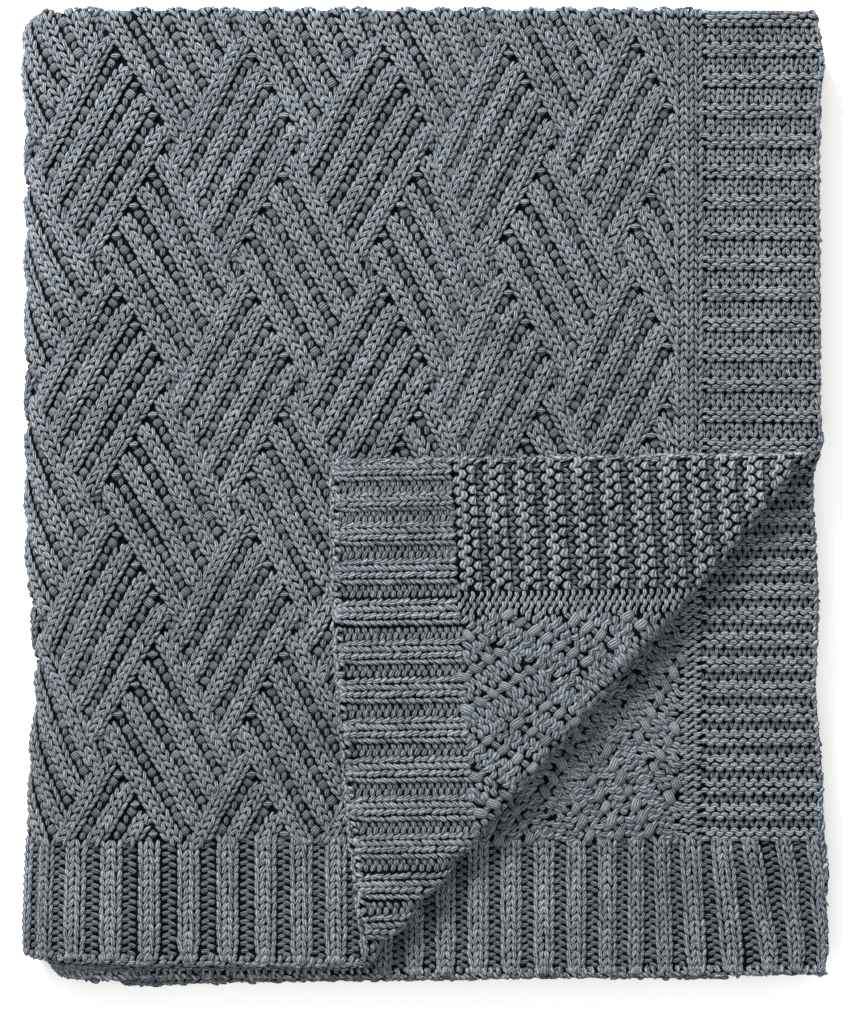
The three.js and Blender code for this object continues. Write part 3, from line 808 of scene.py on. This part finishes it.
def ground_material():
    """The cloth under the loops, painted near black as the shade in the gaps between them, and
    where none are set: rows of small stitches as bump, with painted shade between them.
    """
    yarn = bpy.context.scene.throw_yarn
    paint = Paint("throw_ground", {"Roughness": 0.95, "Specular IOR Level": 0.02})
    along, around = paint.knit_uv()
    across = paint.math("PINGPONG", along, 0.5)
    row = paint.math("PINGPONG", paint.math("ADD", around, across), 0.5)
    height = paint.math("MULTIPLY", row, paint.math("PINGPONG", across, 0.25))
    shade = [part * GROUND_SHADE for part in yarn.shade]
    stitches = paint.ramp(height, (0.0, shade), (0.08, yarn.colour))
    # Painted shade: the depth colour, near black, wherever loops cover the cloth.
    colour = paint.add("ShaderNodeMix", {
        "Factor": paint.attribute("bare"), "A": (*yarn.depth, 1), "B": stitches,
    }, data_type="RGBA")["Result"]
    return paint.finish(colour, height, GROUND_BUMP)


# Patterns: where the loops lie, and which of them show.


def bottom_y(x, ply=1):
    return table(KNIT_END if ply > 0 else LOWER_END, RIGHT_EDGE - x)


def everywhere(x, y):
    return np.ones(x.shape, bool)


def shown_knit(x, y):
    """The upper ply's knit side, where neither the roll nor the flap hides it."""
    covered = (x > table(FLAP_SIDE, y) + FLAP_COVER) & (y < FLAP_TOP - FLAP_COVER)
    return ~covered & (past_roll(x, y) < KNIT_ROLL) & (y > bottom_y(x) + EDGE_MARGIN)


def shown_reverse(x, y, ply, past):
    """A ply's reverse, from a distance past the line where the corner starts to roll."""
    return ((past_roll(x, y) > past) & (y > bottom_y(x, ply) + EDGE_MARGIN)
            & (x < RIGHT_EDGE - SIDE_MARGIN))


def shown_flap(x, y):
    return shown_reverse(x, y, 1, FLAP_ROLL)


def shown_lower(x, y):
    return shown_reverse(x, y, -1, ROLL_INSET - CREASE_COVER)


def shown_above_hem(x, y):
    return shown_knit(x, y) & (y > HEM_TOP) & (y < HALF_FOLD - STITCHED_FROM)


def shown_field(x, y):
    return shown_above_hem(x, y) & (x < KNIT_FIELD_TO)


def cells(low_column, high_column, low_row, high_row):
    """(leans right, the ends of the cell's axes) of the cells that touch the box."""
    for i in CELLS_ABOUT:
        for j in CELLS_ABOUT:
            column, row = (i + j + 1) / 2, (i - j) / 2
            if low_column < column < high_column and low_row < row < high_row:
                yield (i + j) % 2 == 0, i, j


def cell_line(right, i, j, across, t):
    """Flat places along one line of a cell: across and t run from 0 to 1, t upwards."""
    a = i + across if right else i + 1 - t
    b = j + t if right else j + across
    column, row = (a + b) / 2, (a - b) / 2
    x = column_x(column)
    return x, FIRST_ROW + table(ROW_RISE, x) - row * CELL_HEIGHT


def along_cell(cell, across, step, below=0.0, above=0.0, first=0.5, more=0):
    """Flat places every step or so along one line of a cell: x, y, their distances from its
    lower end, its length and its direction in degrees."""
    (x0, x1), (y0, y1) = cell_line(*cell, across, np.array([0.0, 1.0]))
    length = math.hypot(x1 - x0, y1 - y0)
    whole = below + length + above
    count = round(whole / step)
    d = (np.arange(count + more) + first) * whole / count - below
    x, y = cell_line(*cell, across, d / length)
    return x, y, d, length, math.degrees(math.atan2(y1 - y0, x1 - x0))


def beside(x, y, lean, distance):
    """Places that far to the left of a line that runs in the direction lean."""
    normal = math.radians(lean + 90)
    return x + distance * math.cos(normal), y + distance * math.sin(normal)


def cable_ribs(out, right_leaning):
    """Each rib is two wales side by side: four columns of slanting legs."""
    for cell in cells(*KNIT_CELLS):
        if cell[0] != right_leaning:
            continue
        for rib in range(RIBS):
            x, y, d, length, lean = along_cell(
                cell, (rib + 0.5) / RIBS, RIB_STEP, RIB_BELOW, RIB_ABOVE)
            lower = smooth(1 - (d + RIB_BELOW) / RIB_END)
            upper = smooth(1 - (length + RIB_ABOVE - d) / RIB_END)
            narrow = 1 - RIB_NARROWS[0] * lower - RIB_NARROWS[1] * upper
            sunk = RIB_SINKS[0] * lower, RIB_SINKS[1] * upper
            for k, turn in LEG_PAIRS:
                out.add("leg", *beside(x, y, lean, k * LEG_COLUMNS * narrow),
                        CREST - RIB_ROUND * k * k - sunk[0] - sunk[1],
                        lean + turn * LEG_LEAN, tilt=k * RIB_TILT,
                        pitch=RIB_PITCHES[0] * lower - RIB_PITCHES[1] * upper, **RIB_LEG)


def cable_channels(out):
    """Between the ribs, low down: an upright loop and a short bar of strands in turn, both
    darkened with painted shade.
    """
    for cell in cells(*KNIT_CELLS):
        for channel in range(1, RIBS):
            across = channel / RIBS
            x, y, d, length, lean = along_cell(
                cell, across, CHANNEL_STEP, CHANNEL_BELOW, CHANNEL_ABOVE)
            odd = np.arange(len(d)) % 2 == 1
            turn = CHANNEL_BAR_LEAN if cell[0] else -CHANNEL_BAR_LEAN
            out.add("bump", x[~odd], y[~odd], **CHANNEL_LOOP)
            out.add("bar", x[odd], y[odd], lean=lean + turn, **CHANNEL_BAR)
            top = np.array([1 + CAP_BEYOND / length])
            out.add("bump", *cell_line(*cell, across, top), **CHANNEL_CAP)
        x, y = cell_line(*cell, 0.0, np.array([0.0, 1.0]))
        for dx, dy, lean in JUNCTION:
            out.add("bump", x + (dx, dx + JUNCTION_SHIFT), y + dy, lean=lean, **JUNCTION_LOOP)


def v_stitches(out, x, y, height, half, lean, tilt=0.0, **looks):
    """Pairs of legs that meet at their lower ends."""
    for side in (-1, 1):
        out.add("leg", x + side * half, y, height, 90 - side * lean, -side * tilt, **looks)


def wale_columns(out):
    """Upright wales of V stitches."""
    y = np.arange(HEM_TOP, HALF_FOLD - STITCHED_FROM, WALE_STEP)
    for x, height in WALES:
        v_stitches(out, x, y, height, WALE_HALF, WALE_LEAN, WALE_TILT, **WALE_LEG)


def side_border(out):
    """Welts: raised rows of interlocking purl arcs, then sunken rows of V stitches."""
    period, top = (WELT, WELT_TOP) if out.ply > 0 else (LOWER_WELT, LOWER_WELT_TOP)
    arcs, spacing, width, arc_painted_shade, rows, level, reach, leg_painted_shade = WELTS[out.ply, out.face]
    row = (period - arcs * spacing) / rows
    arc_size = np.multiply(WELT_ARC_SIZE, (1, width, 1))
    leg_size = np.multiply(WELT_LEG_SIZE, (row * reach, 1, 1))
    x = np.arange(WELTS_FROM, WELTS_TO, STITCH)
    for i in WELTS_ABOUT:
        crest = top - period * i + (0 if out.face > 0 else period / 2)
        for n in range(arcs):
            k = (n - (arcs - 1) / 2) * 4 / arcs
            rising = n % 2 == 0
            out.add("arc", x + (0 if rising else STITCH / 2), crest - k * arcs / 4 * spacing,
                    WELT_CREST - WELT_ROUND * k * k, 0.0 if rising else 180.0,
                    tilt=(-WELT_TILT if rising else WELT_TILT) * k, size=arc_size, deep=arc_painted_shade)
        for n in range(rows):
            y = crest - arcs / 2 * spacing - (n + 0.5) * row
            v_stitches(out, x, y, level, WELT_LEG_HALF, WELT_LEG_LEAN, size=leg_size,
                       deep=leg_painted_shade)


def hem_ribs(out, x_low, x_high, lean=LEG_LEAN, length=1.0, width=1.0, deep=0.5):
    """The ribbed bottom border: two wales a rib, zigzag purl bars in the channels."""
    channels = UPPER_CHANNELS if out.ply > 0 else LOWER_CHANNELS
    purl_size = np.multiply(HEM_PURL_SIZE, (1, width * width, 1))
    for left, right in zip(channels[:-1], channels[1:]):
        middle = (left + right) / 2
        if not x_low < middle < x_high:
            continue
        step = np.clip((right - left - HEM_CHANNEL) / 4, *HEM_LEG_STEPS)
        end = bottom_y(middle, out.ply)
        y = np.arange(end + HEM_START, HEM_LEGS_TO, ROW * length)
        pinch = 1 - HEM_PINCH * smooth(1 - (y - end - HEM_PINCHED[0]) / HEM_PINCHED[1])
        moved, upright = 0 * y, 90.0
        if out.ply < 0:
            moved = drift(middle, y)
            upright += math.degrees(math.atan(table(LOWER_LEAN, middle) / HEM_LENGTH))
        for k, turn in LEG_PAIRS:
            out.add("leg", middle + moved - k * step * pinch, y, CREST - HEM_ROUND * k * k,
                    upright + turn * lean, tilt=k * HEM_TILT,
                    size=(length, width * step / HEM_LEG_STEP, 1))
        # The purl bars in the channels get painted shade.
        for rows, side in ((0.0, -1), (0.5, 1)):
            out.add("bump", left + moved + side * HEM_PURL_HALF, y + rows * ROW,
                    HEM_PURL_HEIGHT, -HEM_PURL_LEAN * side, size=purl_size, deep=deep)


def purl_field(out):
    """Plain reverse, between the cells and the side border: rows of interlocking arcs."""
    for n, y in enumerate(np.arange(HEM_TOP, FOLD_LINE, ROW / 2)):
        x = np.arange(PURL_FROM + (n % 2) * STITCH / 2, PURL_TO, STITCH)
        out.add("arc", x, y, lean=PURL_LEAN + 180 * (n % 2), **PURL_ARC)


def cable_reverse(out, box):
    """The back of the cells: short bars of strands behind the channels, arcs between them."""
    for cell in cells(*box):
        for channel in range(1, RIBS):
            across = channel / RIBS
            x, y, *_, lean = along_cell(cell, across, REVERSE_BAR_STEP)
            out.add("bar", x, y, lean=180 - lean, **REVERSE_BAR)
            x, y, *_ = along_cell(cell, across, REVERSE_BAR_STEP, first=0, more=1)
            out.add("bump", x, y, lean=lean, **REVERSE_GAP)
        for rib in range(RIBS):
            for n, q in enumerate(REVERSE_ROWS + REVERSE_OUTER.get(rib, ())):
                odd = n % 2
                x, y, *_, lean = along_cell(
                    cell, (rib + 0.5) / RIBS, REVERSE_ARC_STEP, first=0.5 * odd)
                out.add("arc" if odd else "bump", *beside(x, y, lean, q),
                        lean=lean + 90 + (REVERSE_LEAN if odd else -REVERSE_LEAN), **REVERSE_ARC)


def lower_cable_reverse(out):
    """The cells of the second ply go on round the half fold, so they lie mirrored."""
    flipped = Stitches(out.ply, out.face)
    low_column, high_column = FLAP_CELLS[:2]
    low = (FIRST_ROW - 2 * HALF_FOLD + HEM_TOP) / CELL_HEIGHT
    cable_reverse(flipped, (low_column, high_column, low - 1, 0))
    for kinds, x, y, height, lean, *rest in flipped.rows:
        out.rows.append([kinds, x, 2 * HALF_FOLD - y, height, -lean, *rest])


def reverse_side(name, ply, shown):
    """The reverse of one ply: its cells, plain strip, side border and bottom border."""
    back, plain, side, hem = (Stitches(ply, -1) for _ in range(4))
    if ply > 0:
        cable_reverse(back, FLAP_CELLS)
    else:
        lower_cable_reverse(back)
    purl_field(plain)
    side_border(side)
    hem_ribs(hem, REVERSE_FROM, REVERSE_TO, **(FLAP_HEM if ply > 0 else {}))

    def over(x, y):
        return shown(x, y) & (y > HEM_TOP)

    def field(x, y):
        return over(x, y) & (x < REVERSE_FIELD_TO)

    set_stitches(name, (back, field), (plain, over), (side, over), (hem, shown))


def edge_loops(name):
    """The cast edges: a chain of loops along every free edge of both plies."""
    groups = []
    for ply, ends in ((1, KNIT_END), (-1, LOWER_END)):
        out = Stitches(ply, 1)
        along = np.arange(CHAIN_START, PATH_LENGTH, CHAIN_STEP)
        x = RIGHT_EDGE - along
        y = table(ends, along)
        for kind, right, up, height, lean, looks in LOWER_CHAIN:
            out.add(kind, x + right, y + up, height, lean, **looks)
        under = along > STITCHED_TO
        lining = ~under & ~shown_lower(x, y + RIM) & (ply < 0)
        for band, height, tilt in ((under, RIM_CREST, 0.0), (lining, -RIM_CREST, 180.0)):
            for row in range(1, RIM_ROWS + 1):
                odd = row % 2
                out.add("arc", x[band] + CHAIN_STEP / 2 * odd,
                        y[band] + RIM_START + RIM_ROW * row, height, 180.0 * odd, tilt=tilt,
                        **RIM_ARC)
        low, high = RIGHT_CHAIN_INSETS
        y = np.arange(table(ends, 0) + low, HALF_FOLD - high, ROW)
        for kind, right, up, height, lean, looks in RIGHT_CHAIN:
            out.add(kind, RIGHT_EDGE + right, y + up, height, lean, **looks)
        groups.append((out, everywhere))
    set_stitches(name, *groups)


# Settings.


class ThrowYarn(bpy.types.PropertyGroup):
    """The yarn's sizes and colours"""

    leg_length: bpy.props.FloatProperty(
        name="Leg length", description="Length of one leg of a stitch",
        default=0.008, min=0.001, unit="LENGTH")
    leg_width: bpy.props.FloatProperty(
        name="Leg width", description="Width of one leg of a stitch",
        default=0.0034, min=0.0005, unit="LENGTH")
    thickness: bpy.props.FloatProperty(
        name="Yarn thickness", description="Thickness of the yarn through the cloth",
        default=0.003, min=0.0005, unit="LENGTH")
    bump_length: bpy.props.FloatProperty(
        name="Bump length", description="Length of a purl bump",
        default=0.0062, min=0.001, unit="LENGTH")
    bump_width: bpy.props.FloatProperty(
        name="Bump width", description="Width of a purl bump",
        default=0.0039, min=0.0005, unit="LENGTH")
    bar_length: bpy.props.FloatProperty(
        name="Bar length", description="Length of a bar of strands on the reverse",
        default=0.0118, min=0.001, unit="LENGTH")
    bar_width: bpy.props.FloatProperty(
        name="Bar width", description="Width of a bar of strands on the reverse",
        default=0.0064, min=0.0005, unit="LENGTH")
    colour: bpy.props.FloatVectorProperty(
        name="Colour", description="Main colour of the yarn", subtype="COLOR", size=3,
        default=(0.112, 0.1305, 0.1465), min=0, max=1)
    shade: bpy.props.FloatVectorProperty(
        name="Shade", description="Colour between the strands", subtype="COLOR", size=3,
        default=(0.022, 0.027, 0.033), min=0, max=1)
    # Painted shade: near-black colour of the cloth under the loops, seen in the gaps between them.
    depth: bpy.props.FloatVectorProperty(
        name="Depth", description="Colour deep between the loops", subtype="COLOR", size=3,
        default=(0.0014, 0.0018, 0.0025), min=0, max=1)
    # The top of the yarn's colours: painted highlight on the strands' crests, and lighter worn
    # fibres.
    light: bpy.props.FloatVectorProperty(
        name="Light", description="Colour of worn fibres", subtype="COLOR", size=3,
        default=(0.222, 0.247, 0.266), min=0, max=1)
    seed: bpy.props.IntProperty(name="Seed", description="Seed of the unevenness", default=11)


class ThrowStage(bpy.types.PropertyGroup):
    """The camera, the lights and the floor"""

    distance: bpy.props.FloatProperty(
        name="Camera distance", description="Height of the camera above the floor",
        default=2.6, min=0.5, unit="LENGTH")
    key: bpy.props.FloatProperty(
        name="Key light", description="Power of the light at the upper left", default=126.0, min=0)
    top: bpy.props.FloatProperty(
        name="Top light", description="Power of the wide light overhead", default=58.0, min=0)
    fill: bpy.props.FloatProperty(
        name="Fill light", description="Strength of the light all round", default=0.72, min=0)
    floor: bpy.props.FloatVectorProperty(
        name="Floor", description="Colour of the floor", subtype="COLOR", size=3,
        default=(0.95, 0.947, 0.94), min=0, max=1)


# The cloth's own mesh.


def cloth_grid():
    """Distances along the path, and v at each of them for every line along the cloth."""
    panel = np.arange(0, RIGHT_EDGE + PANEL_PAST, PANEL_STEP)
    starts = np.concatenate([[0], np.cumsum(PATH_LENGTHS)])
    rest = []
    for (length, _, _), a, b in zip(PATH, starts[:-1], starts[1:]):
        step = LONG_STEP if length > LONG_PART else BEND_STEP
        rest.append(np.linspace(a, b, max(2, round((b - a) / step) + 1)))
    rest = np.unique(np.round(np.concatenate(rest), 3))
    along = np.concatenate([panel, rest[rest > panel[-1] + 1]])
    upper = np.linspace(0, 1, UPPER_LINES)
    lower = np.concatenate([np.linspace(*lines) for lines in LOWER_LINES])
    fold = np.radians(np.arange(-90, 91, FOLD_TURN)) * FOLD_RADIUS
    top = v_of(table(KNIT_END, along))[:, None]
    low = v_of(table(LOWER_END, along))[:, None]
    return along, np.concatenate([
        (-QUARTER - (low - QUARTER) * lower[None, :0:-1]),
        np.broadcast_to(fold, (len(along), len(fold))),
        QUARTER + (top - QUARTER) * upper[None, 1:]], 1)


def cloth_faces(along, x, v):
    """Levels of the knit side and the reverse, and where no loops cover them."""
    y = HALF_FOLD - np.abs(v)
    along = along[:, None]
    share = relief(x, v)
    past = np.where(np.abs(v) > QUARTER, past_roll(x, y), -np.inf)
    stitched = along < STITCHED_TO
    lower_rim = y < table(LOWER_END, along) + RIM
    on_knit = stitched & (v > STITCHED_FROM) & ((v < QUARTER) | (past < GROUND_PAST))
    on_reverse = past > np.where(v > 0, 0, ROLL_INSET - CREASE_COVER - GROUND_PAST)
    rim = (along > STITCHED_TO) & np.where(v > 0, y < table(KNIT_END, along) + RIM, lower_rim)
    lining = (v < 0) & stitched & lower_rim
    knit = np.where(on_knit, GROUND_RELIEF * share - GROUND_DEPTH,
                    np.where(rim, RIM_LEVEL, BARE_KNIT))
    raised = np.where(y < HEM_TOP, share, 1 - share)
    reverse = -np.where(on_reverse, GROUND_RELIEF * raised - GROUND_DEPTH,
                        np.where(lining, RIM_LEVEL, BARE_REVERSE))
    knit = np.where(knit - reverse < THINNEST, np.maximum(knit, reverse + THINNEST), knit)
    bare = np.stack([~(on_knit | rim), ~(on_reverse | lining)])
    return np.stack([knit, reverse]), bare.astype(float)


def closed_sheet(rows, columns):
    """Quads of two faces of a grid, joined all round."""
    index = np.arange(2 * rows * columns).reshape(2, rows, columns)
    a, b, c, d = index[:, :-1, :-1], index[:, 1:, :-1], index[:, 1:, 1:], index[:, :-1, 1:]
    rim = np.concatenate([index[:, :, 0], index[:, -1, 1:], index[:, -2::-1, -1],
                          index[:, 0, -2::-1]], 1)
    return np.concatenate([
        np.stack([a[0], d[0], c[0], b[0]], -1).reshape(-1, 4),
        np.stack([a[1], b[1], c[1], d[1]], -1).reshape(-1, 4),
        np.stack([rim[0, :-1], rim[0, 1:], rim[1, 1:], rim[1, :-1]], -1)])


# Operators.


class THROW_OT_cloth(bpy.types.Operator):
    """The knitted cloth itself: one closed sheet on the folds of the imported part"""

    bl_idname = "throw.cloth"
    bl_label = "Cloth"

    def execute(self, context):
        along, v = cloth_grid()
        x = np.broadcast_to(RIGHT_EDGE - along[:, None], v.shape)
        levels, bare = cloth_faces(along, x, v)
        points = place(x[None], v[None], levels)
        uv = np.stack([x / STITCH, v / ROW], -1)
        uv = np.broadcast_to(uv, (2,) + uv.shape).reshape(-1, 2)
        obj = add_mesh("throw_knit", points.reshape(-1, 3), closed_sheet(*v.shape), uv)
        layer = obj.data.attributes.new("bare", "FLOAT", "POINT")
        layer.data.foreach_set("value", bare.ravel())
        obj.data.materials.append(ground_material())
        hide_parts("throw_cloth")
        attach(obj, "root")
        print("cloth triangles", 2 * len(obj.data.polygons))
        return {"FINISHED"}


class THROW_OT_cables(bpy.types.Operator):
    """The cable ribs of the knit side and the bumps in their channels"""

    bl_idname = "throw.cables"
    bl_label = "Cables"

    def execute(self, context):
        for name, right in (("right_cables", True), ("left_cables", False)):
            out = Stitches(1, 1)
            cable_ribs(out, right)
            set_stitches(name, (out, shown_field))
        out = Stitches(1, 1)
        cable_channels(out)
        set_stitches("channel_bumps", (out, shown_field))
        return {"FINISHED"}


class THROW_OT_borders(bpy.types.Operator):
    """The wales, welts and ribs round the knit side"""

    bl_idname = "throw.borders"
    bl_label = "Borders"

    def execute(self, context):
        wales, side, hem = (Stitches(1, 1) for _ in range(3))
        wale_columns(wales)
        side_border(side)
        hem_ribs(hem, HEM_FROM, RIGHT_EDGE)
        set_stitches("knit_borders", (wales, shown_above_hem), (side, shown_above_hem),
                     (hem, shown_knit))
        return {"FINISHED"}


class THROW_OT_reverse(bpy.types.Operator):
    """The reverse of the turned corner, and of the second ply that it bares"""

    bl_idname = "throw.reverse"
    bl_label = "Reverse sides"

    def execute(self, context):
        reverse_side("flap_reverse", 1, shown_flap)
        reverse_side("second_ply_reverse", -1, shown_lower)
        return {"FINISHED"}


class THROW_OT_edges(bpy.types.Operator):
    """The chain of loops along the free edges"""

    bl_idname = "throw.edges"
    bl_label = "Edges"

    def execute(self, context):
        edge_loops("edge_chain")
        return {"FINISHED"}


class THROW_OT_declare(bpy.types.Operator):
    """Takes no step: it finishes without changing anything"""

    bl_idname = "throw.declare"
    bl_label = "Declare the sheet"

    def execute(self, context):
        return {"FINISHED"}


class THROW_OT_stage(bpy.types.Operator):
    """The floor, the lights and the camera straight above"""

    bl_idname = "throw.stage"
    bl_label = "Stage"

    def execute(self, context):
        stage = context.scene.throw_stage
        scene = context.scene
        scene.view_settings.view_transform = "Standard"
        bpy.ops.mesh.primitive_plane_add(size=FLOOR_SIZE, location=(0, 0, FLOOR_LEVEL))
        floor = context.object
        floor.name = "floor"
        paint = Paint("floor", {"Base Color": (*stage.floor, 1), "Roughness": 0.9,
                                "Specular IOR Level": 0.2})
        floor.data.materials.append(paint.material)
        world = bpy.data.worlds.new("studio")
        scene.world = world
        world.use_nodes = True
        background = world.node_tree.nodes["Background"]
        background.inputs["Color"].default_value = (1, 1, 1, 1)
        background.inputs["Strength"].default_value = stage.fill
        for name, energy, (size, at) in (("key", stage.key, KEY_LIGHT),
                                         ("top", stage.top, TOP_LIGHT)):
            light = bpy.data.lights.new(name, "AREA")
            light.energy = energy
            light.size = size
            lamp = add_object(name, light)
            lamp.location = at
            lamp.rotation_euler = (-Vector(at)).to_track_quat("-Z", "Y").to_euler()
        camera = bpy.data.cameras.new("camera")
        eye = add_object("camera", camera)
        camera.sensor_fit = "VERTICAL"
        camera.sensor_height = SENSOR
        height = PHOTO_HEIGHT * PIXEL * MM
        camera.lens = SENSOR * (stage.distance - SCALE_LEVEL) / height
        eye.location = (*EYE, stage.distance)
        eye.rotation_euler = (0, 0, 0)
        scene.camera = eye
        return {"FINISHED"}


class THROW_PT_panel(bpy.types.Panel):
    """The operators and their settings"""

    bl_label = "Folded throw"
    bl_idname = "THROW_PT_panel"
    bl_space_type = "VIEW_3D"
    bl_region_type = "UI"
    bl_category = "Throw"

    def draw(self, context):
        layout = self.layout
        for operator in OPERATORS:
            layout.operator(operator.bl_idname)
        for group in (context.scene.throw_yarn, context.scene.throw_stage):
            for name in group.__annotations__:
                layout.prop(group, name)


OPERATORS = (THROW_OT_cloth, THROW_OT_cables, THROW_OT_borders, THROW_OT_reverse,
             THROW_OT_edges, THROW_OT_declare, THROW_OT_stage)
CLASSES = (ThrowYarn, ThrowStage, *OPERATORS, THROW_PT_panel)


def register():
    for cls in CLASSES:
        bpy.utils.register_class(cls)
    bpy.types.Scene.throw_yarn = bpy.props.PointerProperty(type=ThrowYarn)
    bpy.types.Scene.throw_stage = bpy.props.PointerProperty(type=ThrowStage)


def unregister():
    del bpy.types.Scene.throw_yarn
    del bpy.types.Scene.throw_stage
    for cls in reversed(CLASSES):
        bpy.utils.unregister_class(cls)


def main():
    register()
    for operator in OPERATORS:
        group, name = operator.bl_idname.split(".")
        getattr(getattr(bpy.ops, group), name)()
    shapes = bpy.data.collections.get("Yarn shapes")
    for obj in list(shapes.objects):
        bpy.data.objects.remove(obj)
    bpy.data.collections.remove(shapes)


if __name__ == "__main__":
    main()
